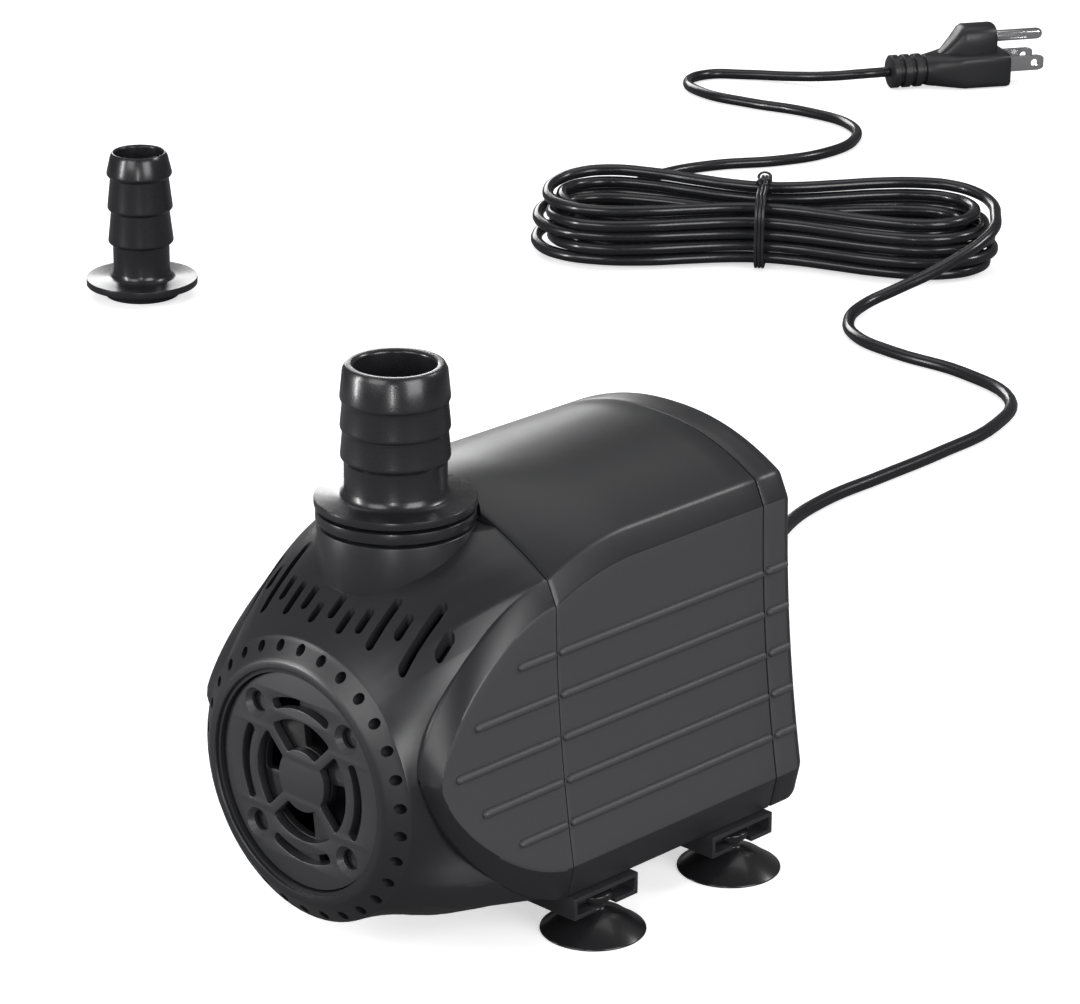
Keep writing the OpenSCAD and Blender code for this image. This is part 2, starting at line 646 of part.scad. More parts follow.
// A tube through points: each ring stands across the way from the point before to the next.
function unit(v) = v / norm(v);
function heading(p, i) = unit(p[min(i + 1, len(p) - 1)] - p[max(i - 1, 0)]);
function across(h) = unit(cross(h, [0, 0, 1]));
function tube_ring(p, i, r) = let(h = heading(p, i), s = across(h), u = cross(s, h))
    [for (k = [0 : 7]) p[i] + r * (cos(k * 45 + 22.5) * s + sin(k * 45 + 22.5) * u)];
// A smooth curve through hand-set points, with some steps in each span.
function curve(p, steps) = [for (i = [0 : len(p) - 2], s = [0 : steps - 1]) let(t = s / steps,
        a = p[max(i - 1, 0)], b = p[i], c = p[i + 1], d = p[min(i + 2, len(p) - 1)])
        0.5 * (2 * b + (c - a) * t + (2 * a - 5 * b + 4 * c - d) * t * t
            + (3 * b - a - 3 * c + d) * t * t * t)];
module tube(p, steps, r) {
    way = concat(curve(p, steps), [p[len(p) - 1]]);
    loft([for (i = [0 : len(way) - 1]) tube_ring(way, i, r)]);
}
floor_z = 2.2;                  // height of the lead's middle where it lies on the floor
exit_y = rear_face + relief_l;
lead_route = [[0, exit_y + 0.2, gland_z], [0, exit_y + 6, gland_z], [-4, exit_y + 17, 33],
    [-14, 137, 17], [-28, 151, 6], [-46, 169, floor_z], [-70, 198, floor_z],
    [-90, 226, floor_z], [-105, 252, floor_z], [-111, 276, floor_z], [-112, 304, floor_z],
    [-113, 334, floor_z], [-117, 368, floor_z], [-130, 392, floor_z], [-158, 402, floor_z],
    [-188, 402, floor_z], [-208, 406, floor_z], [-222, 418, floor_z], [-228, 433, 3],
    [-225, 449, 6.5], [-221, 461, 10], [-218, 473, 14], [-217, 483, 17], [-219, 494, 20]];
tail_route = [[-364, 438, 3], [-369, 447, floor_z], [-376, 459, floor_z], [-388, 482, floor_z],
    [-392, 506, floor_z], [-386, 530, floor_z], [-373, 552, floor_z], [-367, 574, floor_z],
    [-372, 598, floor_z], [-388, 613, floor_z], [-412, 615, floor_z], [-438, 609, floor_z],
    [-462, 607, floor_z], [-479, 616, floor_z], [-481, 630, floor_z], [-469, 642, floor_z],
    [-452, 651, 3], [-436, 657, 5], [-424, 664, 7], [-418, 674, 7.2]];
module power_cord() color("#1a1a1c") at_seam() tube(lead_route, 3, cord_d / 2);
module cord_tail() color("#1a1a1c") at_seam() tube(tail_route, 3, cord_d / 2);

// The hank lies along a 4:3 slope in plan, and is drawn in at its middle by the tie.
hank_at = [-296, 456];
hank_turn = atan2(3, 4);
hank_l = 174;
hank_w = 54;
hank_h = 29;
waist_w = 38;                   // width of the hank under the tie
waist_r = 120;                  // radius of the waist's sides
tie_w = 7;
tie_t = 1.4;
module hank_frame() translate([hank_at[0], hank_at[1], 0]) rotate(hank_turn) children();
module cord_hank() color("#1a1a1c") at_seam() hank_frame() difference() {
    linear_extrude(hank_h) difference() {
        rotate(-90) stadium(hank_l - hank_w, hank_w);
        for (s = [-1, 1]) translate([0, s * (waist_w / 2 + waist_r)]) circle(waist_r, $fn = 128);
    }
    difference() {
        translate([-tie_w / 2, -hank_w, -1]) cube([tie_w, 2 * hank_w, hank_h + 2]);
        tie_room();
    }
}
module tie_room() translate([-tie_w, -waist_w / 2 + tie_t, tie_t])
    cube([2 * tie_w, waist_w - 2 * tie_t, hank_h - 2 * tie_t]);
module cord_tie() color("#2a2a2c") at_seam() hank_frame() difference() {
    translate([-tie_w / 2, -waist_w / 2, 0]) cube([tie_w, waist_w, hank_h]);
    tie_room();
}

// Three-pin mains plug, lying with its round pin uppermost.
plug_at = [-417.8, 674.3, 7.2];
plug_turn = 60;
plug_l = 50;                    // from the first rib of the relief to the front face
block_w = 24;                   // moulded block round the blades
block_h = 14.4;
block_x = 28;
tower_w = 14;                   // moulded tower round the round pin
tower_x = 30;
tower_l = 15.5;
relief_r = 7;
blade_gap = 12.7;
blade_z = 1.6;
blade_l = 16.5;
blade_t = 1.5;
blade_w = 6.4;
blade_hole_x = 12.2;
pin_up = 10.9;                  // height of the round pin above the blades' middle
pin_l = 20;
pin_r = 2.4;
module plug_frame() translate(plug_at) rotate(plug_turn) children();
module plug_body() color("#242426") at_seam() plug_frame() {
    for (x = [0, 5, 10]) translate([x, 0, 0]) rotate([0, 90, 0]) cylinder(h = 3.4, r = relief_r);
    rotate([0, 90, 0]) cylinder(h = 18, r = relief_r - 1.2);
    hull() {
        translate([15, 0, 0]) rotate([0, 90, 0]) cylinder(h = 2, r = relief_r, $fn = 32);
        translate([block_x, -block_w / 2, -relief_r - 0.1]) cube([plug_l - block_x, block_w, block_h]);
    }
    hull() {
        translate([20, -3, 4]) cube([2, 6, 2]);
        translate([tower_x, -tower_w / 2, 0]) cube([tower_l, tower_w, 14]);
        translate([tower_x, 0, 12]) rotate([0, 90, 0]) cylinder(h = tower_l, r = 6.5, $fn = 32);
    }
}
module plug_blades() color("#c9ccd0") at_seam() plug_frame() for (s = [-1, 1]) difference() {
    translate([plug_l, (s * blade_gap - blade_t) / 2, blade_z - blade_w / 2])
        cube([blade_l, blade_t, blade_w]);
    translate([plug_l + blade_hole_x, s * blade_gap / 2 - 2, blade_z]) rotate([-90, 0, 0])
        cylinder(h = 4, r = 1.6, $fn = 24);
}
module ground_pin() color("#c9ccd0") at_seam() plug_frame()
    translate([tower_x + tower_l, 0, blade_z + pin_up]) rotate([0, 90, 0]) {
        cylinder(h = pin_l, r = pin_r, $fn = 32);
        translate([0, 0, pin_l]) sphere(pin_r, $fn = 32);
    }

motor_housing();
rear_cap();
front_cover();
intake_dial();
regulator_plate();
impeller_chamber();
chamber_seal();
outlet_seal();
outlet_collar();
hose_nozzle();
spare_nozzle();
impeller();
rotor_magnet();
rotor_shaft();
front_bush();
rear_bush();
stator_core();
bobbin_left();
bobbin_right();
coil_left();
coil_right();
potting_compound();
foot_bracket_fl();
foot_bracket_fr();
foot_bracket_rl();
foot_bracket_rr();
suction_cup_fl();
suction_cup_fr();
suction_cup_rl();
suction_cup_rr();
cord_gland();
power_cord();
cord_hank();
cord_tail();
cord_tie();
plug_body();
plug_blades();
ground_pin();
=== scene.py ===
import bpy
import math
from mathutils import Matrix, Vector


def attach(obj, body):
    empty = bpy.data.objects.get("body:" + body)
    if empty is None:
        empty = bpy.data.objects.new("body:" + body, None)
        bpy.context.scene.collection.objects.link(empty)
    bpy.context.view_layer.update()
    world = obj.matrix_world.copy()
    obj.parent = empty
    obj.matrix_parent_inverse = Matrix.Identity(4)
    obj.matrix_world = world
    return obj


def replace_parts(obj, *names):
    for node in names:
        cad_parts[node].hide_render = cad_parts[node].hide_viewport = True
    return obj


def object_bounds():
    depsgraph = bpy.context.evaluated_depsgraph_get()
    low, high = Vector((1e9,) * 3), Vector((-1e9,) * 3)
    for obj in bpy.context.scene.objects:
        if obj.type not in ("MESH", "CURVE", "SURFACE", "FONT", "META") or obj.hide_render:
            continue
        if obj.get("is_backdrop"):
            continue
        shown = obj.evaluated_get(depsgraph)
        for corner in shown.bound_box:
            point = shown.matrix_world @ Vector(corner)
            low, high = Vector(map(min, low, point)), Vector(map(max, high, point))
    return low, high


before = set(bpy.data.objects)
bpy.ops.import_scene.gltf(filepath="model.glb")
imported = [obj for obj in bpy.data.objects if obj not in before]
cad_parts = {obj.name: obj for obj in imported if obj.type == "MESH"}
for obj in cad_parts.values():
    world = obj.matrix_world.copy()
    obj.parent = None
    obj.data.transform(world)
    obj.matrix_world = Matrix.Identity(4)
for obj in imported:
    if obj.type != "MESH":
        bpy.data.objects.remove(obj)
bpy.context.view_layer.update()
mm = 0.001
seamY = -36.65


# Points are given in millimetres, with Y measured from the front seam.
def at(x, y, z):
    return Vector((x * mm, (y + seamY) * mm, z * mm))


def lerp(a, b, t):
    return a + (b - a) * t


def ramp(t):
    return min(max(t, 0.0), 1.0)


def cosd(angle):
    return math.cos(math.radians(angle))


def sind(angle):
    return math.sin(math.radians(angle))


# A round ring of points about a line along y
def aboutY(x, y, z, radius, count):
    step = 360 / count
    return [at(x + radius * cosd(step * k), y, z + radius * sind(step * k)) for k in range(count)]


def onlySelect(obj):
    bpy.ops.object.select_all(action="DESELECT")
    obj.select_set(True)
    bpy.context.view_layer.objects.active = obj


def applied(obj, kind, **settings):
    onlySelect(obj)
    mod = obj.modifiers.new(kind.lower(), kind)
    for key, value in settings.items():
        setattr(mod, key, value)
    bpy.ops.object.modifier_apply(modifier=mod.name)
    return obj


def cleaned(obj, distance=0.00002):
    onlySelect(obj)
    bpy.ops.object.mode_set(mode="EDIT")
    bpy.ops.mesh.select_all(action="SELECT")
    bpy.ops.mesh.remove_doubles(threshold=distance)
    bpy.ops.mesh.dissolve_degenerate(threshold=distance / 2)
    bpy.ops.mesh.normals_make_consistent(inside=False)
    bpy.ops.object.mode_set(mode="OBJECT")
    return obj


def smooth(obj, angle=32):
    onlySelect(obj)
    bpy.ops.object.shade_smooth_by_angle(angle=math.radians(angle))
    return obj


def madeOf(obj, material, body=None):
    obj.data.materials.clear()
    obj.data.materials.append(material)
    if body:
        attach(obj, body)
    return obj


def meshPiece(name, points, faces):
    data = bpy.data.meshes.new(name)
    data.from_pydata([tuple(p) for p in points], [], faces)
    obj = bpy.data.objects.new(name, data)
    bpy.context.scene.collection.objects.link(obj)
    return cleaned(obj)


# Rings of equally many points, joined in order; the ends are capped unless it closes on itself.
def ringPiece(name, rings, closed=False):
    count = len(rings[0])
    points = [p for ring in rings for p in ring]
    faces = []
    spans = len(rings) if closed else len(rings) - 1
    for j in range(spans):
        k = (j + 1) % len(rings)
        for i in range(count):
            n = (i + 1) % count
            faces.append((j * count + i, j * count + n, k * count + n, k * count + i))
    if not closed:
        faces.append(tuple(range(count)))
        faces.append(tuple((len(rings) - 1) * count + i for i in range(count)))
    return meshPiece(name, points, faces)


def joined(name, objects):
    bpy.ops.object.select_all(action="DESELECT")
    for obj in objects:
        obj.select_set(True)
    bpy.context.view_layer.objects.active = objects[0]
    bpy.ops.object.join()
    objects[0].name = name
    objects[0].data.name = name
    return objects[0]


def cutBy(obj, cutter, operation="DIFFERENCE"):
    applied(obj, "BOOLEAN", object=cutter, operation=operation, solver="EXACT")
    bpy.data.objects.remove(cutter)
    return obj


def placed(obj, matrix):
    obj.data.transform(matrix)
    obj.data.update()
    return obj


# Camera
camera = dict(place=(0.69099, -0.71449, 0.46777), azimuth=44.127, elevation=20.59, roll=0.393, lens=142.40)
cameraData = bpy.data.cameras.new("camera")
cameraData.sensor_width = 36
cameraData.sensor_fit = "HORIZONTAL"
cameraData.lens = camera["lens"]
cameraData.clip_start = 0.05
cameraData.clip_end = 20
cameraObject = bpy.data.objects.new("camera", cameraData)
bpy.context.scene.collection.objects.link(cameraObject)
turn, tilt, lean = (math.radians(camera[k]) for k in ("azimuth", "elevation", "roll"))
backward = Vector((math.sin(turn) * math.cos(tilt), -math.cos(turn) * math.cos(tilt), math.sin(tilt)))
sideways = Vector((math.cos(turn), math.sin(turn), 0))
upward = backward.cross(sideways)
tiltedX = math.cos(lean) * sideways + math.sin(lean) * upward
tiltedY = -math.sin(lean) * sideways + math.cos(lean) * upward
view = Matrix((tiltedX, tiltedY, backward)).transposed().to_4x4()
view.translation = Vector(camera["place"])
cameraObject.matrix_world = view
bpy.context.scene.camera = cameraObject
print("camera set")

# Lead, hank and tail in one spline
cordWide = 4.2
leadRoute = [(0, 109.7, 40), (-0.5, 117, 39), (-3.5, 126, 34.5), (-10, 136, 25), (-18, 145, 14.5),
             (-29, 155, 6.4), (-44, 169, 2.6), (-58, 184, 2.2), (-70, 198, 2.2), (-90, 226, 2.2),
             (-105, 252, 2.2), (-111, 276, 2.2), (-112, 304, 2.2), (-113, 334, 2.2),
             (-117, 368, 2.2), (-130, 392, 2.2), (-158, 402, 2.2), (-188, 402, 2.2),
             (-208, 406, 2.2), (-222, 418, 2.2), (-228, 433, 3), (-225, 449, 6.5), (-221, 461, 10),
             (-218, 473, 14), (-217, 483, 17), (-219, 494, 20)]
tailRoute = [(-369, 447, 2.2), (-376, 459, 2.2), (-388, 482, 2.2), (-392, 506, 2.2),
             (-386, 530, 2.2), (-373, 552, 2.2), (-367, 574, 2.2), (-372, 598, 2.2), (-388, 613, 2.2),
             (-412, 615, 2.2), (-438, 609, 2.2), (-462, 607, 2.2), (-479, 616, 2.2), (-481, 630, 2.2),
             (-469, 642, 2.2), (-452, 651, 3), (-436, 657, 5), (-424, 664, 7), (-418, 674, 7.2)]
hank = dict(place=(-296, 456), turn=math.atan2(3, 4), levels=(3.5, 7.9, 12.3, 16.7, 21.1, 25.5))


def inHank(x, y, z):
    c, s = math.cos(hank["turn"]), math.sin(hank["turn"])
    return (hank["place"][0] + x * c - y * s, hank["place"][1] + x * s + y * c, z)


# Each loop: its level, its place under the tie, how far it spreads near and far, how far it reaches
# right and left, and the angle at which it starts down to the next level
loops = [
    dict(level=5, tie=6.0, near=-20.0, far=20.5, right=84.6, left=-79.5, drop=65),
    dict(level=4, tie=6.2, near=-18.5, far=19.5, right=77.0, left=-74.5, drop=-10),
    dict(level=3, tie=4.6, near=-14.2, far=14.2, right=72.5, left=-77.5, drop=0),
    dict(level=3, tie=9.5, near=-22.0, far=21.5, right=80.5, left=-83.0, drop=65),
    dict(level=2, tie=9.5, near=-20.8, far=20.4, right=82.8, left=-76.0, drop=0),
    dict(level=2, tie=4.6, near=-14.2, far=14.2, right=73.5, left=-69.5, drop=35),
    dict(level=1, tie=4.6, near=-14.4, far=14.2, right=71.5, left=-77.0, drop=0),
    dict(level=1, tie=9.5, near=-22.2, far=21.0, right=84.0, left=-83.5, drop=65),
    dict(level=0, tie=9.5, near=-21.0, far=19.0, right=81.5, left=-80.0, drop=0),
]


# How far a strand has spread from the tie at a distance x from it, as a share.
def spread(x):
    t = ramp(abs(x) / 56.0)
    return t * t * (3 - 2 * t)


def hankRoute():
    out = []
    for i, loop in enumerate(loops):
        z = hank["levels"][loop["level"]]
        wobble = 0.12 * math.sin(2.1 * i)
        if i:
            for x in (-42, -26, -12, 0, 12, 26, 42, 56):
                out.append((x, lerp(-loop["tie"], loop["near"], spread(x)), z + wobble * spread(x)))
            centre = (loop["near"] + loop["far"]) / 2
            half = (loop["far"] - loop["near"]) / 2
            for a in (-62, -31, 0, 31, 62):
                out.append((lerp(58, loop["right"], cosd(a)),
                            centre + half * sind(a), z + wobble))
        else:
            out += [(84.6, -4.5, 21.6), (83.0, 6.0, 22.9), (76.5, 15.4, 24.2), (66.5, 20.3, 25.1)]
        last = i == len(loops) - 1
        for x in (56, 42, 26, 12, 0, -12, -26) + (() if last else (-42,)):
            out.append((x, lerp(loop["tie"], loop["far"] if x > 0 or not last else 13.5, spread(x)),
                        z + wobble * spread(x) - (spread(x) * 1.2 if last and x < 0 else 0)))
        if last:
            out += [(-38, 12.6, 2.3), (-49, 13.4, 2.2), (-58, 17.4, 2.2), (-63.8, 24.6, 2.2)]
            continue
        after = loops[i + 1]
        zAfter = hank["levels"][after["level"]]
        centre = (after["near"] + loop["far"]) / 2
        half = (loop["far"] - after["near"]) / 2
        for a in (80, 52, 26, 0, -26, -52, -80):
            share = ramp((loop["drop"] - a) / 100)
            out.append((lerp(-56, loop["left"], cosd(a)),
                        centre + half * sind(a), lerp(z, zAfter, share) + wobble))
    return out


route = [at(*p) for p in leadRoute] + [at(*inHank(*p)) for p in hankRoute()] + [at(*p) for p in tailRoute]
cordData = bpy.data.curves.new("mainsLead", "CURVE")
cordData.dimensions = "3D"
cordData.resolution_u = 6
cordData.bevel_depth = cordWide / 2 * mm
cordData.bevel_resolution = 5
cordData.use_fill_caps = True
spline = cordData.splines.new("BEZIER")
spline.bezier_points.add(len(route) - 1)
for knot, p in zip(spline.bezier_points, route):
    knot.co = p
    knot.handle_left_type = knot.handle_right_type = "AUTO"
mainsLead = bpy.data.objects.new("mainsLead", cordData)
bpy.context.scene.collection.objects.link(mainsLead)
print("cord laid", len(route))
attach(mainsLead, "pump")
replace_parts(mainsLead, "power_cord", "cord_hank", "cord_tail")


# Shader maths: sockets that add, multiply and so on as numbers do.
class Wire:
    def __init__(self, tree, socket):
        self.tree, self.socket = tree, socket

    def node(self, kind, settings=None, **inputs):
        made = self.tree.nodes.new(kind)
        for key, value in (settings or {}).items():
            setattr(made, key, value)
        for key, value in inputs.items():
            numbered = key[0] == "i" and key[1:].isdigit()
            place = made.inputs[int(key[1:]) if numbered else key.replace("_", " ")]
            if isinstance(value, Wire):
                self.tree.links.new(value.socket, place)
            else:
                place.default_value = value
        return made

    def out(self, made, name=0):
        return Wire(self.tree, made.outputs[name])

    def math(self, kind, a, b=0.0, c=0.0):
        return self.out(self.node("ShaderNodeMath", {"operation": kind}, i0=a, i1=b, i2=c))

    def __add__(self, other):
        return self.math("ADD", self, other)

    def __mul__(self, other):
        return self.math("MULTIPLY", self, other)

    def __sub__(self, other):
        return self.math("SUBTRACT", self, other)

    def __rsub__(self, other):
        return self.math("SUBTRACT", other, self)

    def __pow__(self, other):
        return self.math("POWER", self, other)

    __radd__ = __add__
    __rmul__ = __mul__


# One shader for every moulded or metal surface: grain, uneven gloss, and a painted highlight that lightens
# the base colour along convex edges.
def surface(name, colour, rough, grain=0.0, grainScale=9000.0, cloud=0.05, edge=0.25, metallic=0.0,
            coat=0.0, strength=0.25, specular=0.5):
    material = bpy.data.materials.new(name)
    material.use_nodes = True
    tree = material.node_tree
    shader = tree.nodes["Principled BSDF"]
    shader.inputs["Metallic"].default_value = metallic
    shader.inputs["Coat Weight"].default_value = coat
    shader.inputs["Coat Roughness"].default_value = 0.08
    shader.inputs["Specular IOR Level"].default_value = specular
    wire = Wire(tree, None)
    place = wire.out(wire.node("ShaderNodeTexCoord"), "Object")
    soft = wire.out(wire.node("ShaderNodeTexNoise", {}, Vector=place, Scale=55.0, Detail=4.0,
                              Roughness=0.6), "Fac")
    fine = wire.out(wire.node("ShaderNodeTexNoise", {}, Vector=place, Scale=grainScale, Detail=2.0), "Fac")
    # Painted highlight: convex edges, found by pointiness, get a lighter base colour and a slightly lower
    # roughness.
    edgePointiness = wire.out(wire.node("ShaderNodeNewGeometry"), "Pointiness")
    edgeHighlight = wire.out(wire.node("ShaderNodeMapRange", {"clamp": True}, Value=edgePointiness, From_Min=0.53,
                             From_Max=0.62, To_Min=0.0, To_Max=1.0), "Result")
    edgeHighlight = edgeHighlight * (soft * 0.7 + 0.3)
    gloss = rough + (soft - 0.5) * (cloud * 2) + (fine - 0.5) * (grain * 0.6) - edgeHighlight * 0.06
    tree.links.new(gloss.socket, shader.inputs["Roughness"])
    # The lighter second colour mixed in at convex edges is the painted edge highlight.
    mixed = wire.node("ShaderNodeMix", {"data_type": "RGBA", "blend_type": "MIX"})
    tree.links.new((edgeHighlight * edge).socket, mixed.inputs["Factor"])
    mixed.inputs[6].default_value = (*colour, 1)
    mixed.inputs[7].default_value = (*[min(1.0, c * 2.4 + 0.012) for c in colour], 1)
    tree.links.new(mixed.outputs[2], shader.inputs["Base Color"])
    bump = wire.node("ShaderNodeBump", {}, Strength=strength, Distance=0.00012 * max(grain, 0.15),
                     Height=fine * 0.8 + soft * 0.2)
    tree.links.new(bump.outputs["Normal"], shader.inputs["Normal"])
    return material


satin = surface("satinBlack", (0.016, 0.016, 0.018), 0.38, grain=0.5, grainScale=5200, cloud=0.03)
noseSatin = surface("noseSatin", (0.014, 0.014, 0.016), 0.36, grain=0.45, grainScale=5200, cloud=0.03)
padGrey = surface("padGrey", (0.042, 0.042, 0.045), 0.52, grain=0.9, grainScale=4200, cloud=0.03)
dialSatin = surface("dialSatin", (0.026, 0.026, 0.029), 0.42, grain=0.4, cloud=0.03)
innerDark = surface("innerDark", (0.012, 0.012, 0.013), 0.5, grain=0.3)
glossBlack = surface("glossBlack", (0.012, 0.012, 0.014), 0.27, grain=0.25, cloud=0.05, coat=0.12)
sheath = surface("sheathBlack", (0.010, 0.010, 0.012), 0.27, grain=0.2, cloud=0.05, coat=0.2)
plugBlack = surface("plugBlack", (0.016, 0.016, 0.018), 0.38, grain=0.5, cloud=0.05)
cupRubber = surface("cupRubber", (0.010, 0.010, 0.011), 0.24, grain=0.15, cloud=0.06, coat=0.15)
footBlack = surface("footBlack", (0.016, 0.016, 0.018), 0.36, grain=0.35)
pinMetal = surface("pinMetal", (0.80, 0.80, 0.82), 0.18, grain=0.3, metallic=1.0, cloud=0.06)
wireCoat = surface("wireCoat", (0.016, 0.016, 0.018), 0.34, grain=0.2)
whitePlastic = surface("whitePlastic", (0.78, 0.78, 0.75), 0.40, grain=0.3)
ferrite = surface("ferrite", (0.07, 0.07, 0.075), 0.55, grain=0.6)
ceramic = surface("ceramic", (0.86, 0.84, 0.78), 0.15, grain=0.1)
lamination = surface("lamination", (0.42, 0.43, 0.45), 0.35, grain=0.6, metallic=1.0)
copper = surface("copper", (0.46, 0.20, 0.07), 0.3, grain=0.6, metallic=0.9)
nylon = surface("nylon", (0.7, 0.66, 0.56), 0.45, grain=0.4)
mainsLead.data.materials.append(sheath)

# CAD nodes that stay in view take a material of their own.
kept = dict(impeller_chamber=innerDark, chamber_seal=cupRubber, outlet_seal=cupRubber,
            impeller=whitePlastic, rotor_magnet=ferrite, rotor_shaft=ceramic,
            front_bush=cupRubber, rear_bush=cupRubber,
            stator_core=lamination, bobbin_left=nylon, bobbin_right=nylon, coil_left=copper,
            coil_right=copper, potting_compound=innerDark)
for name, material in kept.items():
    shown = bpy.data.objects[name]
    shown.data.materials.clear()
    shown.data.materials.append(material)
print("materials made")

# Outline of the shells across the pump
shell = dict(length=74, cap=11.5, roof=110, brow=107, browRun=18, creaseX=36.2, creaseZ=100, creaseDrop=6,
             creaseRun=28, bevel=6.2, side=42, lean=0.118, curve=0.0012, flat=48, skirt=22, base=43.8,
             baseZ=13, wall=2.8, seam=0.3, axis=45)


def sideX(z):
    return shell["side"] - shell["lean"] * (z - shell["flat"]) + shell["curve"] * (z - shell["flat"]) ** 2


def frontShare(y, run):
    return 1 - ramp(y / run)


def roofAt(y):
    return shell["roof"] - (shell["roof"] - shell["brow"]) * frontShare(y, shell["browRun"]) ** 2


def creaseAt(y):
    return shell["creaseZ"] - shell["creaseDrop"] * frontShare(y, shell["creaseRun"]) ** 2


# A corner's three points, drawn in by a small radius.
def softened(a, b, c, radius):
    a, b, c = Vector(a), Vector(b), Vector(c)
    first = b + (a - b).normalized() * min(radius, (a - b).length * 0.45)
    last = b + (c - b).normalized() * min(radius, (c - b).length * 0.45)
    return [tuple(first), tuple((first + last + b * 2) / 4), tuple(last)]


def halfOutline(y, inset=0.0):
    top, creaseX = roofAt(y) - inset, shell["creaseX"] - inset
    creaseZ = creaseAt(y) - inset * 0.7
    power = 2.2 - 0.4 * frontShare(y, shell["creaseRun"])
    arch = [(creaseX * i / 26, top - (top - creaseZ) * (i / 26) ** power) for i in range(26)]
    low = creaseZ - shell["bevel"]
    foot = shell["skirt"] + inset * 0.5
    crease, under = (creaseX, creaseZ), (sideX(low) - inset, low)
    side = [(sideX(z) - inset, z) for z in (lerp(low, foot, i / 14) for i in range(1, 14))]
    skirt = (sideX(foot) - inset, foot)
    corner = (shell["base"] - inset, shell["baseZ"] + inset)
    floor = [(corner[0] * (1 - i / 16), corner[1]) for i in range(1, 17)]
    return (arch + softened(arch[-1], crease, under, 0.7) + softened(crease, under, side[0], 0.7) + side
            + softened(side[-1], skirt, corner, 0.8) + softened(skirt, corner, floor[0], 1.2) + floor)


def outline(y, inset=0.0):
    half = halfOutline(y, inset)
    return half + [(-x, z) for x, z in half[-2:0:-1]]


def housingRing(y, inset=0.0, shape=None):
    return [at(x, y, z) for x, z in outline(y if shape is None else shape, inset)]


def roundRing(y, radius):
    out = []
    for x, z in outline(0):
        rise = z - shell["axis"]
        length = math.hypot(x, rise)
        out.append(at(x / length * radius, y, shell["axis"] + rise / length * radius))
    return out


def prism(name, loop, low, high):
    count = len(loop)
    points = [at(x, y, low) for x, y in loop] + [at(x, y, high) for x, y in loop]
    faces = [tuple(range(count)), tuple(count + i for i in range(count))]
    faces += [(i, (i + 1) % count, count + (i + 1) % count, count + i) for i in range(count)]
    return meshPiece(name, points, faces)


def circle2(x, y, radius, count=48):
    turns = [2 * math.pi * i / count for i in range(count)]
    return [(x + radius * math.cos(a), y + radius * math.sin(a)) for a in turns]


# The flat pads of the sides have a lighter, grained texture.
def padFaces(obj):
    obj.data.materials.append(padGrey)
    for face in obj.data.polygons:
        x, y, z = face.center / mm
        inside = shell["skirt"] < z < creaseAt(y - seamY) - shell["bevel"] + 0.2
        if inside and abs(x) > sideX(z) - 0.2 and abs(face.normal.x) > 0.9:
            face.material_index = 1
    return obj


# Motor housing, with the mouth of the rotor well in its front wall
outletY, bossTop = -15, 103.3
well = dict(radius=13.6, end=56)
end = shell["length"]
rings = [roundRing(well["end"], well["radius"]), roundRing(0.6, well["radius"]),
         roundRing(0, well["radius"] + 0.5), housingRing(0, 0.35), housingRing(0.12, 0.1), housingRing(0.4)]
stations = [1.5, 3, 4.5, *range(6, 29, 2), 34, 42, 50, 58, 66]
rings += [housingRing(y) for y in stations]
rings += [housingRing(end - 0.4), housingRing(end - 0.12, 0.1), housingRing(end, 0.35),
          housingRing(end, shell["wall"]), housingRing(62, shell["wall"])]
housing = ringPiece("motorHousing", rings)
cutBy(housing, prism("relief", circle2(0, outletY, 20.35, 128), bossTop, 130))
smooth(padFaces(madeOf(housing, satin, "pump")), 24)
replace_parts(housing, "motor_housing")

rear = end + shell["cap"]
capRound, capInset = 5, 2.6
steps = [(6, shell["wall"]), (shell["seam"], shell["wall"]), (shell["seam"], 0.35),
         (0.42, 0.1), (0.7, 0), (3, 0)]
rings = [housingRing(end + y, inset, end) for y, inset in steps]
for i in range(9):
    a = 90 * i / 8
    rings.append(housingRing(rear - capRound + capRound * sind(a), capInset * (1 - cosd(a)), end))
rearCap = ringPiece("rearCap", rings)
smooth(padFaces(madeOf(rearCap, satin, "pump")), 24)
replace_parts(rearCap, "rear_cap")
print("shells made")


# Side ribs, each a half-sunk rod with round ends
ribs = dict(radius=1.15, pitch=10.8, low=33, start=(-17.2, -28.1, -35.7, -28.6, -13.6))


def rodPiece(name, x, z, y1, y2, radius):
    bow = [(y1 + radius * (1 - cosd(t)), radius * sind(t)) for t in (12, 30, 50, 70, 90)]
    bow += [(y1 + y2 - y, r) for y, r in reversed(bow)]
    return ringPiece(name, [aboutY(x, y, z, r, 18) for y, r in bow])


def ribSet(name, spans, body):
    made = []
    for sign in (-1, 1):
        for i, start in enumerate(ribs["start"]):
            z = ribs["low"] + i * ribs["pitch"]
            for y1, y2 in spans:
                y1 = start if y1 is None else y1
                made.append(rodPiece(name, sign * sideX(z), z, y1, y2, ribs["radius"]))
    return smooth(madeOf(joined(name, made), padGrey, body), 40)


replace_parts(ribSet("housingRibs", [(0.35, end - 0.35)], "pump"), "motor_housing")
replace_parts(ribSet("capRibs", [(end + 0.65, rear - 2.6)], "pump"), "rear_cap")
coverRibs = ribSet("coverRibs", [(None, -0.65)], "cover")
print("ribs made")

# Front cover: nose ring, hole band and the neck that grows into the housing's outline
cover = dict(length=45, ring=36.0, bandDepth=4.0, rim=30.6, mouth=28.6, seat=27.6, ledge=25.3,
             ledgeBack=-40.4, ledgeFront=-42.0, seatFront=-48.2, platform=102.7, holes=30, holeAt=33.9)
noseY = -cover["length"]
bandY = noseY - cover["bandDepth"]


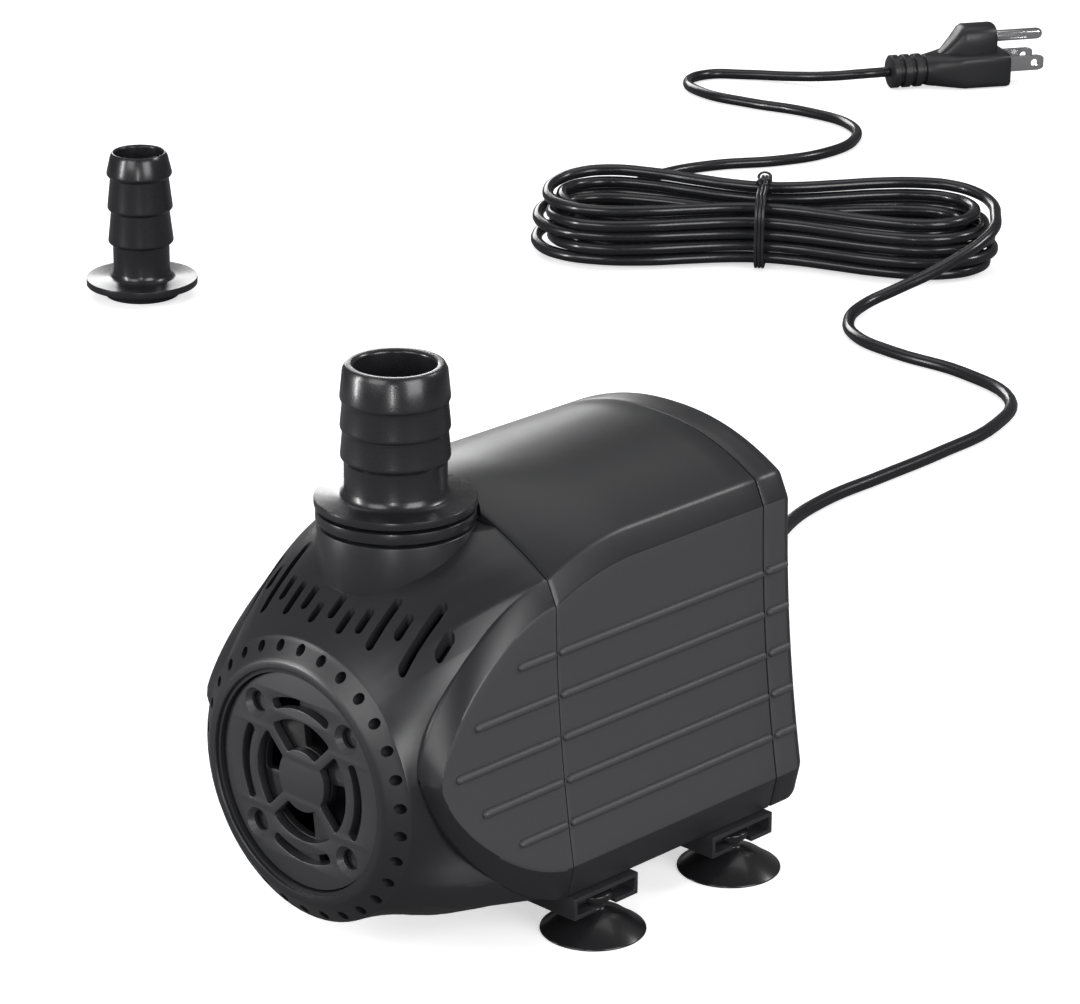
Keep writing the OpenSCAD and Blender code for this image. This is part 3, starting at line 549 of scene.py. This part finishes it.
# How far the neck has grown at a share t of its length: slowly at mid-height, fast above and below
def neckGrow(angle, t):
    full = ramp((angle - 8) / 32) if angle > 0 else ramp((-angle - 12) / 22)
    power = lerp(2.3, 1.6, ramp((angle - 50) / 34)) if angle > 0 else 4.0
    full = full * full * (3 - 2 * full)
    return lerp(t ** 1.6, 1 - (1 - t) ** power, full)


def polar(point):
    rise = point[1] - shell["axis"]
    return math.atan2(rise, point[0]), math.hypot(point[0], rise)


seamOutline = [polar(point) for point in outline(0)]


def outlineReach(angle):
    near = sorted(seamOutline, key=lambda p: abs(math.remainder(p[0] - angle, 2 * math.pi)))[:2]
    gaps = [abs(math.remainder(p[0] - angle, 2 * math.pi)) + 1e-6 for p in near]
    return (near[0][1] * gaps[1] + near[1][1] * gaps[0]) / sum(gaps)


# The outline with its corners drawn in, which the neck follows until it nears the seam
blur = ((-24, 1), (-16, 2), (-8, 3), (0, 4), (8, 3), (16, 2), (24, 1))
softReach = [sum(outlineReach(a + math.radians(turn)) * weight for turn, weight in blur) / 16
             for a, r in seamOutline]


def neckRing(y, inset=0.0, top=200.0):
    t = ramp((y - noseY) / cover["length"])
    out = []
    for (a, far), soft in zip(seamOutline, softReach):
        angle = math.degrees(math.atan2(math.sin(a), abs(math.cos(a))))
        reach = lerp(min(soft, far), far, ramp((t - 0.35) / 0.65) ** 1.5)
        r = lerp(cover["ring"], reach, neckGrow(angle, t)) - inset
        out.append(at(r * math.cos(a), y, min(shell["axis"] + r * math.sin(a), top)))
    return out


rings = [roundRing(cover["ledgeBack"], cover["ledge"]), roundRing(cover["ledgeFront"], cover["ledge"]),
         roundRing(cover["ledgeFront"], cover["seat"]), roundRing(cover["seatFront"], cover["seat"]),
         roundRing(cover["seatFront"], cover["mouth"]), roundRing(bandY + 0.25, cover["mouth"]),
         roundRing(bandY, cover["mouth"] + 0.25), roundRing(bandY, cover["rim"] - 0.3),
         roundRing(bandY + 0.15, cover["rim"] + 0.12)]
for t in (0.15, 0.35, 0.55, 0.75, 0.93):
    rings.append(roundRing(lerp(bandY, noseY, t) + 0.02, lerp(cover["rim"], cover["ring"], t)))
rings.append(roundRing(noseY - 0.08, cover["ring"] - 0.05))
stations = [-44.8, -44.2, -43.4, -42.5, -41.5, -40.4, -39.2, -38, -36.6, -35.2, -33.8, -32.2, -30.6, -29,
            -27.2, -25.4, -23.6, -21.8, *range(-20, 0, 2), -0.7]
rings += [neckRing(y) for y in stations]
rings += [neckRing(-0.42, 0.1), neckRing(-0.3, 0.35), neckRing(-0.3, 2.8, 99.9)]
rings += [neckRing(y, 2.8, 99.9) for y in (-6, -12, -18, -24, -30, -35)] + [roundRing(-40.4, 33.2)]
frontCover = ringPiece("frontCover", rings, closed=True)
cutBy(frontCover, prism("top", [(-60, -60), (60, -60), (60, 5), (-60, 5)], cover["platform"], 130))


def stadiumLoop(x, y1, y2, width):
    r = width / 2
    turns = range(0, 181, 20)
    return ([(x + r * cosd(a), y2 - r + r * sind(a)) for a in turns]
            + [(x - r * cosd(a), y1 + r - r * sind(a)) for a in turns])


slots = dict(count=14, pitch=4.7, width=2.2, short=5.8, low=3.4, bow=0.004, clear=21.7, boss=19.1,
             end=-25, sideEnd=-23.5, shortAt=8.4, flat=13, slope=0.45)
cutters = []
for i in range(slots["count"]):
    x = (i - (slots["count"] - 1) / 2) * slots["pitch"]
    if i % 2 == 0:
        y1 = noseY + slots["low"] + slots["bow"] * x * x
        ahead = outletY - math.sqrt(max(slots["clear"] ** 2 - x * x, 0))
        y2 = min(ahead, slots["end"]) if abs(x) < slots["boss"] else slots["sideEnd"]
    else:
        middle = noseY + slots["shortAt"] + slots["slope"] * max(abs(x) - slots["flat"], 0)
        y1, y2 = middle - slots["short"] / 2, middle + slots["short"] / 2
    for low, high in ((60, 120), (0, 30)):
        cutters.append(prism("slot", stadiumLoop(x, y1, y2, slots["width"]), low, high))
for i in range(cover["holes"]):
    a = (i + 0.5) * 360 / cover["holes"]
    x, z = cover["holeAt"] * cosd(a), shell["axis"] + cover["holeAt"] * sind(a)
    cutters.append(ringPiece("hole", [aboutY(x, y, z, 1.3, 16) for y in (-51, -42.1)]))
cutters.append(prism("outlet", circle2(0, outletY, 13.4, 64), 80, 120))
slotCutter = joined("slotCutter", cutters)
panelCutter = slotCutter.copy()
panelCutter.data = slotCutter.data.copy()
bpy.context.scene.collection.objects.link(panelCutter)
cutBy(frontCover, slotCutter)
smooth(madeOf(frontCover, noseSatin, "cover"), 24)
print("nose made", len(frontCover.data.polygons))


# Raised side panels with a bullet-shaped outline
def bullet(t):
    return (1 - (1 - ramp(t)) ** 1.6) ** 0.68


def panelRing(y, sign):
    outer, inner, tip = 42.0, 40.3, 55.0
    out, inn = bullet((y + outer) / outer), bullet((y + inner) / inner)
    top, low = creaseAt(0), shell["baseZ"]
    topIn = top - shell["bevel"]
    oh, ol = lerp(tip, top, out), lerp(tip, low, out)
    ih, il = lerp(tip - 1, topIn, inn), lerp(tip - 1, shell["skirt"], inn)
    dropHigh = lerp(6.5, sideX(top) - shell["creaseX"], out)
    dropLow = lerp(5.5, sideX(low) - shell["base"], out)
    lift = ramp((y + outer) / (outer - inner))
    edge = [(sideX(lerp(ih, il, i / 12)) - dropHigh * (1 - lift), lerp(ih, il, i / 12)) for i in range(13)]
    high, foot = (sideX(oh) - dropHigh, oh), (sideX(ol) - dropLow, ol)
    ring = [(28.0, oh)] + softened((28.0, oh), high, edge[0], 0.4) + softened(high, edge[0], edge[1], 0.5)
    ring += edge[1:-1] + softened(edge[-2], edge[-1], foot, 0.5) + softened(edge[-1], foot, (28.0, ol), 0.4)
    ring += [(28.0, ol)]
    return [at(sign * x, y, z) for x, z in ring]


for sign, name in ((-1, "leftPanel"), (1, "rightPanel")):
    steps = [-41.9 + 41.6 * (i / 44) ** 1.7 for i in range(45)]
    panel = ringPiece(name, [panelRing(y, sign) for y in steps])
    cutter = panelCutter.copy()
    cutter.data = panelCutter.data.copy()
    bpy.context.scene.collection.objects.link(cutter)
    cutBy(panel, cutter)
    smooth(padFaces(madeOf(panel, noseSatin, "cover")), 28)
    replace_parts(panel, "front_cover")
bpy.data.objects.remove(panelCutter)
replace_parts(frontCover, "front_cover")
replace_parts(coverRibs, "front_cover")
print("panels made")


# Pieces of revolution: a profile of radius and height is spun about an upright axis.
def turned(name, profile, place, steps=96, bevel=0.25):
    data = bpy.data.meshes.new(name)
    edges = [(i, i + 1) for i in range(len(profile) - 1)]
    data.from_pydata([(r * mm, 0, z * mm) for r, z in profile], edges, [])
    obj = bpy.data.objects.new(name, data)
    bpy.context.scene.collection.objects.link(obj)
    onlySelect(obj)
    bpy.ops.object.mode_set(mode="EDIT")
    bpy.ops.mesh.select_all(action="SELECT")
    bpy.ops.mesh.spin(steps=steps, angle=2 * math.pi, center=(0, 0, 0), axis=(0, 0, 1))
    bpy.ops.object.mode_set(mode="OBJECT")
    cleaned(obj)
    if bevel:
        applied(obj, "BEVEL", width=bevel * mm, segments=3, limit_method="ANGLE",
                angle_limit=math.radians(25))
    return placed(obj, Matrix.Translation(at(*place)))


def barbed(bore, spigot, drop, flange, thick, neck, crest, first, pitch, height):
    top = thick + height
    profile = [(bore, -drop), (spigot, -drop), (spigot, 0), (flange, 0), (flange, thick),
               (neck + 2.0, thick), (neck + 0.9, thick + 0.5), (neck + 0.25, thick + 1.4),
               (neck, thick + 2.6)]
    for i in range(3):
        z = first + i * pitch
        if i:
            profile.append((neck + 0.35, z - 1.5 if pitch < 10 else z - 1.2))
        else:
            profile.append((neck, z - 1.0))
        profile += [(crest - 0.35, z - 0.5), (crest, z), (crest - 0.02, z + 0.7)]
    profile += [(neck + 0.2, top - 1.4), (neck - 0.5, top), (bore + 0.5, top), (bore, top - 0.6)]
    profile.append((bore, -drop))
    return profile


hoseSize = dict(bore=9.85, spigot=13.1, drop=16.6, flange=19.75, thick=2.0, neck=12.45, crest=13.3,
                first=12.2, pitch=7.3, height=33.2)
spareSize = dict(bore=8.65, spigot=13.1, drop=3.9, flange=19.75, thick=2.5, neck=10.05, crest=11.6,
                 first=16.0, pitch=12.3, height=46.0)
nozzle = turned("hoseNozzle", barbed(**hoseSize), (0, outletY, 108.0))
smooth(madeOf(nozzle, glossBlack, "nozzle"), 28)
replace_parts(nozzle, "hose_nozzle")
spareNozzle = turned("spareNozzle", barbed(**spareSize), (-424, 267, spareSize["drop"]))
smooth(madeOf(spareNozzle, glossBlack, "spare"), 28)
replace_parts(spareNozzle, "spare_nozzle")
collarProfile = [(13.4, bossTop), (15.5, bossTop), (15.5, 104.3), (19.4, 104.3), (19.4, 107.0),
                 (15.5, 107.0), (15.5, 108.0), (13.4, 108.0), (13.4, bossTop)]
collar = turned("outletCollar", collarProfile, (0, outletY, 0))
smooth(madeOf(collar, glossBlack, "cover"), 28)
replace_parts(collar, "outlet_collar")
bossProfile = [(13.4, 90.3), (19.1, 90.3), (19.1, bossTop), (13.4, bossTop), (13.4, 90.3)]
boss = turned("outletBoss", bossProfile, (0, outletY, 0), bevel=0.35)
cutBy(boss, prism("seamCut", [(-30, -0.3), (30, -0.3), (30, 20), (-30, 20)], 80, 120))
smooth(madeOf(boss, noseSatin, "cover"), 28)
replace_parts(boss, "front_cover")
print("outlet made")


# Flat moulded discs: closed outlines filled, thickened and bevelled as one curve, then made a mesh.
def rounded(points, radius, steps=4):
    out, count = [], len(points)
    for i in range(count):
        a, b, c = Vector(points[i - 1]), Vector(points[i]), Vector(points[(i + 1) % count])
        bend = (b - a).angle(c - b)
        if bend < math.radians(20):
            out.append(tuple(b))
            continue
        reach = min(radius * math.tan(bend / 2), (b - a).length * 0.8, (c - b).length * 0.8)
        p, q = b + (a - b).normalized() * reach, b + (c - b).normalized() * reach
        for k in range(steps + 1):
            t = k / steps
            out.append(tuple(p * (1 - t) ** 2 + b * 2 * t * (1 - t) + q * t ** 2))
    return out


def flatDisc(name, loops, front, thick, bevel):
    data = bpy.data.curves.new(name, "CURVE")
    data.dimensions = "2D"
    data.fill_mode = "BOTH"
    data.extrude = (thick / 2 - bevel) * mm
    data.bevel_depth = bevel * mm
    data.bevel_resolution = 2
    data.offset = -bevel * mm
    for loop in loops:
        line = data.splines.new("POLY")
        line.points.add(len(loop) - 1)
        for knot, (x, z) in zip(line.points, loop):
            knot.co = (x * mm, z * mm, 0, 1)
        line.use_cyclic_u = True
    obj = bpy.data.objects.new(name, data)
    bpy.context.scene.collection.objects.link(obj)
    onlySelect(obj)
    bpy.ops.object.convert(target="MESH")
    obj = bpy.context.view_layer.objects.active
    obj.name = name
    cleaned(obj)
    upright = Matrix.Rotation(math.radians(90), 4, "X")
    return placed(obj, Matrix.Translation(at(0, front + thick / 2, shell["axis"])) @ upright)


def ringSlot(r1, r2, width, middle, radius):
    a1, a2 = middle - width / 2, middle + width / 2
    count = max(4, int(width / 4))
    shares = [i / count for i in range(count + 1)]
    loop = [(r2 * cosd(lerp(a1, a2, t)), r2 * sind(lerp(a1, a2, t))) for t in shares]
    loop += [(r1 * cosd(lerp(a2, a1, t)), r1 * sind(lerp(a2, a1, t))) for t in shares]
    return rounded(loop, radius)


def window(r1, r2, spoke, middle):
    loop = []
    for r, order in ((r2, 1), (r1, -1)):
        reach = 45 - math.degrees(math.asin(spoke / 2 / r))
        turns = [middle + order * lerp(-reach, reach, i / 14) for i in range(15)]
        loop += [(r * cosd(a), r * sind(a)) for a in turns]
    return rounded(loop, 0.9)


dial = dict(radius=27.3, front=-47.0, thick=2.4, screwAt=22.3)
loops = [circle2(0, 0, dial["radius"], 128)]
for a in (0, 90, 180, 270):
    loops.append(ringSlot(18.4, 21.0, 58, a, 1.25))
    loops.append(window(7.9, 15.5, 2.6, a))
    loops.append(circle2(dial["screwAt"] * cosd(a + 45), dial["screwAt"] * sind(a + 45), 2.6, 32))
intakeDial = flatDisc("intakeDial", loops, dial["front"], dial["thick"], 0.22)
cones = []
for a in (45, 135, 225, 315):
    x, z = dial["screwAt"] * cosd(a), shell["axis"] + dial["screwAt"] * sind(a)
    cones.append(ringPiece("sink", [aboutY(x, y, z, r, 32) for y, r in ((-48.2, 4.9), (-45.6, 2.5))]))
cutBy(intakeDial, joined("sinks", cones))
smooth(madeOf(intakeDial, dialSatin, "dial"), 30)
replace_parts(intakeDial, "intake_dial")
loops = [circle2(0, 0, dial["radius"], 128)]
for a in (0, 90, 180, 270):
    loops.append(ringSlot(8.0, 15.2, 54, a - 20, 0.6))
    loops.append(ringSlot(17.6, 21.2, 30, a - 66, 0.6))
regulator = flatDisc("regulatorPlate", loops, -44.3, 2.0, 0.15)
smooth(madeOf(regulator, innerDark, "cover"), 30)
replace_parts(regulator, "regulator_plate")
print("dial made")


# Feet: brackets that open outwards, and turned rubber cups with a winged knob
def blockPiece(name, low, high, bevel=0.4):
    bpy.ops.mesh.primitive_cube_add(size=1)
    obj = bpy.context.object
    obj.name = name
    size = [(b - a) * mm for a, b in zip(low, high)]
    middle = [(a + b) / 2 for a, b in zip(low, high)]
    obj.data.transform(Matrix.Translation(at(*middle)) @ Matrix.Diagonal((*size, 1)))
    if bevel:
        applied(obj, "BEVEL", width=bevel * mm, segments=2, limit_method="ANGLE",
                angle_limit=math.radians(30))
    return obj


cupProfile = [(0, 2.2), (5, 1.8), (9, 0.9), (12.4, 0.05), (13.2, 0.05), (13.2, 0.5), (11, 1.9),
              (8.6, 3.7), (5.2, 5.2), (3.6, 5.9), (2.8, 6.4), (2.8, 8.7), (4.6, 8.7), (4.6, 10.3),
              (3, 11.1), (0, 11.1)]
feet = dict(x=41.3, cupY=(11.7, 61.6), low=7.2, high=13.0, inner=29.0, outer=45.8, half=11.3, wall=1.2,
            neckX=34.0, neckHalf=3.4, past=60)


def joinedPiece(name, parts, material, body, nodes, angle=30):
    obj = joined(name, parts)
    smooth(madeOf(obj, material, body), angle)
    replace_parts(obj, *nodes)
    return obj


for side, key in ((-1, "l"), (1, "r")):
    for y, row in zip(feet["cupY"], ("f", "r")):
        x1, x2 = sorted((side * feet["inner"], side * feet["outer"]))
        bracket = blockPiece("bracket" + row + key, (x1, y - feet["half"], feet["low"]),
                             (x2, y + feet["half"], feet["high"]), 0)
        wall, half = feet["wall"], feet["neckHalf"]
        x1, x2 = sorted((side * (feet["inner"] + wall), side * feet["past"]))
        hollow = blockPiece("hollow", (x1, y - feet["half"] + wall, feet["low"] + wall),
                            (x2, y + feet["half"] - wall, feet["high"] - wall), 0)
        x1, x2 = sorted((side * feet["neckX"], side * feet["past"]))
        neckHole = prism("neckHole", [(x1, y - half), (x2, y - half), (x2, y + half), (x1, y + half)],
                         feet["low"] - 2, feet["low"] + 1.8)
        cutBy(bracket, hollow)
        cutBy(bracket, neckHole)
        applied(bracket, "BEVEL", width=0.25 * mm, segments=2, limit_method="ANGLE",
                angle_limit=math.radians(40))
        smooth(madeOf(bracket, footBlack, "pump"), 30)
        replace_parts(bracket, "foot_bracket_" + row + key)
        cup = turned("cup", cupProfile, (side * feet["x"], y, 0), 72, 0.2)
        wing = blockPiece("wing", (side * feet["x"] - 1.6, y - 7.5, 8.75),
                          (side * feet["x"] + 1.6, y + 7.5, 10.25), 0.5)
        knob = joined("suctionCup" + row + key, [cup, wing])
        smooth(madeOf(knob, cupRubber, "pump"), 30)
        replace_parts(knob, "suction_cup_" + row + key)
print("feet made")

# Strain relief at the rear cap, tapering with the lead
glandProfile = [(2.35, 0), (6.2, 0), (6.6, 0.4), (6.6, 1.7), (6.2, 2.05), (4.75, 2.1)]
for i in range(6):
    z, r = 3.6 + i * 3.1, 4.55 - 0.26 * i
    glandProfile += [(r, z), (r - 0.9, z + 0.35), (r - 1.0, z + 1.0), (r - 0.15, z + 1.35)]
glandProfile += [(2.9, 23.4), (2.6, 24.0), (2.2, 24.0), (2.35, 0)]
gland = turned("cordGland", glandProfile, (0, 0, 0), 48, 0)
turnBack = Matrix.Rotation(math.radians(-90), 4, "X") @ Matrix.Translation(-at(0, 0, 0))
gland.data.transform(Matrix.Translation(at(0, 85.5, 40)) @ turnBack)
smooth(madeOf(gland, cupRubber, "pump"), 40)
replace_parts(gland, "cord_gland")

# Twist tie: three coated wires round the hank's waist
tieParts = []
for x in (-1.25, 0, 1.25):
    half = [(0, 0.75), (9, 0.75), (14.5, 1.5), (17.6, 5.0), (18.3, 14.0), (17.2, 23.4), (13.6, 27.3),
            (8, 28.2)]
    corners = half + [(0, 28.3)] + [(-y, z) for y, z in half[:0:-1]]
    strand = bpy.data.curves.new("tieWire", "CURVE")
    strand.dimensions = "3D"
    strand.resolution_u = 6
    strand.bevel_depth = 0.6 * mm
    strand.bevel_resolution = 3
    line = strand.splines.new("BEZIER")
    line.bezier_points.add(len(corners) - 1)
    for knot, (y, z) in zip(line.bezier_points, corners):
        knot.co = at(*inHank(x, y, z))
        knot.handle_left_type = knot.handle_right_type = "AUTO"
    line.use_cyclic_u = True
    wireObj = bpy.data.objects.new("tieWire", strand)
    bpy.context.scene.collection.objects.link(wireObj)
    onlySelect(wireObj)
    bpy.ops.object.convert(target="MESH")
    tieParts.append(bpy.context.view_layer.objects.active)
for y in (-3.4, 3.4):
    bpy.ops.mesh.primitive_torus_add(major_radius=2.3 * mm, minor_radius=0.55 * mm, major_segments=28,
                                     minor_segments=10)
    ear = bpy.context.object
    ear.data.transform(Matrix.Diagonal((1.0, 0.75, 1, 1)))
    lean = Matrix.Rotation(math.radians(60 if y > 0 else 120), 4, "X")
    along = Matrix.Rotation(math.atan2(3, 4) + math.radians(20), 4, "Z")
    ear.data.transform(Matrix.Translation(at(*inHank(0, y, 30.2))) @ along @ lean)
    tieParts.append(ear)
cordTie = joinedPiece("cordTie", tieParts, wireCoat, "pump", ("cord_tie",), 60)
print("tie made")

# Plug, built lying along x and then laid at its place
plugAt, plugTurn = (-417.8, 674.3, 7.2), 60
plugPlace = Matrix.Translation(at(*plugAt)) @ Matrix.Rotation(math.radians(plugTurn), 4, "Z")


def loftX(name, sections, count=40):
    rings = []
    for x, halfY, low, high, square in sections:
        ring = []
        for k in range(count):
            a = 2 * math.pi * (k + 0.5) / count
            c, s = math.cos(a), math.sin(a)
            cy, cz = abs(c) ** (2 / square), abs(s) ** (2 / square)
            z = (high + low) / 2 + math.copysign(cz, s) * (high - low) / 2
            ring.append(Vector((x, math.copysign(cy, c) * halfY, z)) * mm)
        rings.append(ring)
    return placed(ringPiece(name, rings), plugPlace)


# Sections of the plug: place along x, half width, low, high and how square it is
blockSections = [(14.5, 5.6, -5.6, 5.6, 2), (15, 6.4, -6.4, 6.4, 2), (17, 6.9, -6.9, 6.9, 2),
                 (20, 8.2, -7.0, 7.0, 2.6), (24, 10.4, -7.1, 7.1, 3.6), (27.5, 11.6, -7.1, 7.2, 5),
                 (30, 12.0, -7.1, 7.3, 7), (48.6, 12.0, -7.1, 7.3, 8), (49.6, 11.8, -6.9, 7.1, 8),
                 (50, 11.3, -6.4, 6.6, 8)]
towerSections = [(21, 3.0, 2.0, 6.6, 2.4), (24, 4.4, 2.0, 9.6, 2.6), (28, 5.9, 2.0, 14.2, 2.8),
                 (30.5, 6.6, 0, 17.6, 3), (32, 6.9, 0, 18.4, 3), (44.2, 6.9, 0, 18.4, 3),
                 (45.1, 6.7, 0.2, 18.2, 3), (45.5, 6.2, 0.5, 17.7, 3)]
reliefSections = [(0.4, 3.0, -3.0, 3.0, 2), (1, 5.7, -5.7, 5.7, 2), (17.5, 5.7, -5.7, 5.7, 2),
                  (18, 5.2, -5.2, 5.2, 2)]
plugParts = [loftX("plugBlock", blockSections, 56), loftX("plugTower", towerSections, 48),
             loftX("plugRelief", reliefSections)]
for x in (0, 5, 10):
    steps = ((x, 6.5), (x + 0.35, 6.95), (x + 3.05, 6.95), (x + 3.4, 6.5))
    plugParts.append(loftX("rib", [(along, r, -r, r, 2) for along, r in steps], 48))
plugBody = joinedPiece("plugBody", plugParts, plugBlack, "pump", ("plug_body",), 40)
blades = []
for s in (-1, 1):
    bladeY = s * 12.7 / 2
    blade = loftX("blade", [(49.6, 0.75, -1.6, 4.8, 40), (63.8, 0.75, -1.6, 4.8, 40),
                            (65.6, 0.72, -1.1, 4.3, 40), (66.4, 0.5, -0.4, 3.6, 40)], 24)
    blade.data.transform(plugPlace @ Matrix.Translation((0, bladeY * mm, 0)) @ plugPlace.inverted())
    eye = [(62.2 + 1.6 * cosd(15 * k), 1.6 + 1.6 * sind(15 * k)) for k in range(24)]
    drill = ringPiece("drill", [[Vector((x, bladeY + off, z)) * mm for x, z in eye] for off in (-3, 3)])
    cutBy(blade, placed(drill, plugPlace))
    blades.append(blade)
plugBlades = joinedPiece("plugBlades", blades, pinMetal, "pump", ("plug_blades",), 30)
pin = []
for x, r in ((45.0, 2.38), (65.2, 2.38), (66.2, 2.2), (67.0, 1.75), (67.5, 1.1), (67.7, 0.4)):
    pin.append([Vector((x, r * cosd(15 * k), 12.5 + r * sind(15 * k))) * mm for k in range(24)])
groundPin = placed(ringPiece("groundPin", pin), plugPlace)
smooth(madeOf(groundPin, pinMetal, "pump"), 30)
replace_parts(groundPin, "ground_pin")
print("plug made")

at(0, 109.7, 40)

# Floor, light and surroundings
stage = dict(floorSeen=0.9, floorDim=0.2, floorGlow=0.55, world=0.14)
bpy.ops.mesh.primitive_plane_add(size=14, location=(0, 0, 0))
floor = bpy.context.object
floor.name = "floor"
floorLook = bpy.data.materials.new("floorWhite")
floorLook.use_nodes = True
floorTree = floorLook.node_tree
floorShader = floorTree.nodes["Principled BSDF"]
floorShader.inputs["Roughness"].default_value = 0.9
floorShader.inputs["Specular IOR Level"].default_value = 0.05
floorShader.inputs["Emission Strength"].default_value = 1.0
floorWire = Wire(floorTree, None)
seen = floorWire.out(floorWire.node("ShaderNodeLightPath"), "Is Camera Ray")
base = seen * (stage["floorSeen"] - stage["floorDim"]) + stage["floorDim"]
floorTree.links.new(base.socket, floorShader.inputs["Base Color"])
floorTree.links.new((seen * stage["floorGlow"]).socket, floorShader.inputs["Emission Color"])
floor.data.materials.append(floorLook)
floor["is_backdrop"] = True


def softBox(name, place, aim, size, power):
    light = bpy.data.lights.new(name, "AREA")
    light.shape = "RECTANGLE"
    light.size, light.size_y = size
    light.energy = power
    obj = bpy.data.objects.new(name, light)
    obj.location = place
    obj.rotation_euler = (Vector(aim) - Vector(place)).to_track_quat("-Z", "Y").to_euler()
    bpy.context.scene.collection.objects.link(obj)
    obj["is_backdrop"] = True


softBox("topSoft", (-0.5, 0.4, 1.4), (-0.1, 0.1, 0), (1.6, 1.2), 6)
softBox("keySoft", (1.3, -0.1, 0.55), (0, 0, 0.05), (0.8, 0.8), 13)
softBox("backRight", (0.75, 1.25, 1.05), (0, 0, 0.06), (0.5, 0.3), 8)
softBox("backLeft", (-1.2, 0.75, 0.42), (0, 0, 0.1), (0.6, 0.35), 4.5)
softBox("leftStrip", (-0.75, -0.9, 0.3), (0, -0.05, 0.08), (0.14, 0.6), 9)
softBox("frontStrip", (0.8, -1.0, 0.22), (0, -0.05, 0.08), (0.09, 0.45), 3.5)
softBox("frontFill", (0.1, -1.4, 0.8), (0, 0, 0.05), (0.9, 0.7), 9)
world = bpy.data.worlds.new("studio")
bpy.context.scene.world = world
world.use_nodes = True
tree = world.node_tree
back = tree.nodes["Background"]
back.inputs["Color"].default_value = (1, 1, 1, 1)
back.inputs["Strength"].default_value = stage["world"]
path = tree.nodes.new("ShaderNodeLightPath")
white = tree.nodes.new("ShaderNodeBackground")
white.inputs["Color"].default_value = (1, 1, 1, 1)
white.inputs["Strength"].default_value = 1.0
mixer = tree.nodes.new("ShaderNodeMixShader")
tree.links.new(path.outputs["Is Camera Ray"], mixer.inputs[0])
tree.links.new(back.outputs[0], mixer.inputs[1])
tree.links.new(white.outputs[0], mixer.inputs[2])
tree.links.new(mixer.outputs[0], tree.nodes["World Output"].inputs["Surface"])
bpy.context.scene.view_settings.view_transform = "Standard"

low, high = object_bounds()
print("scene built")
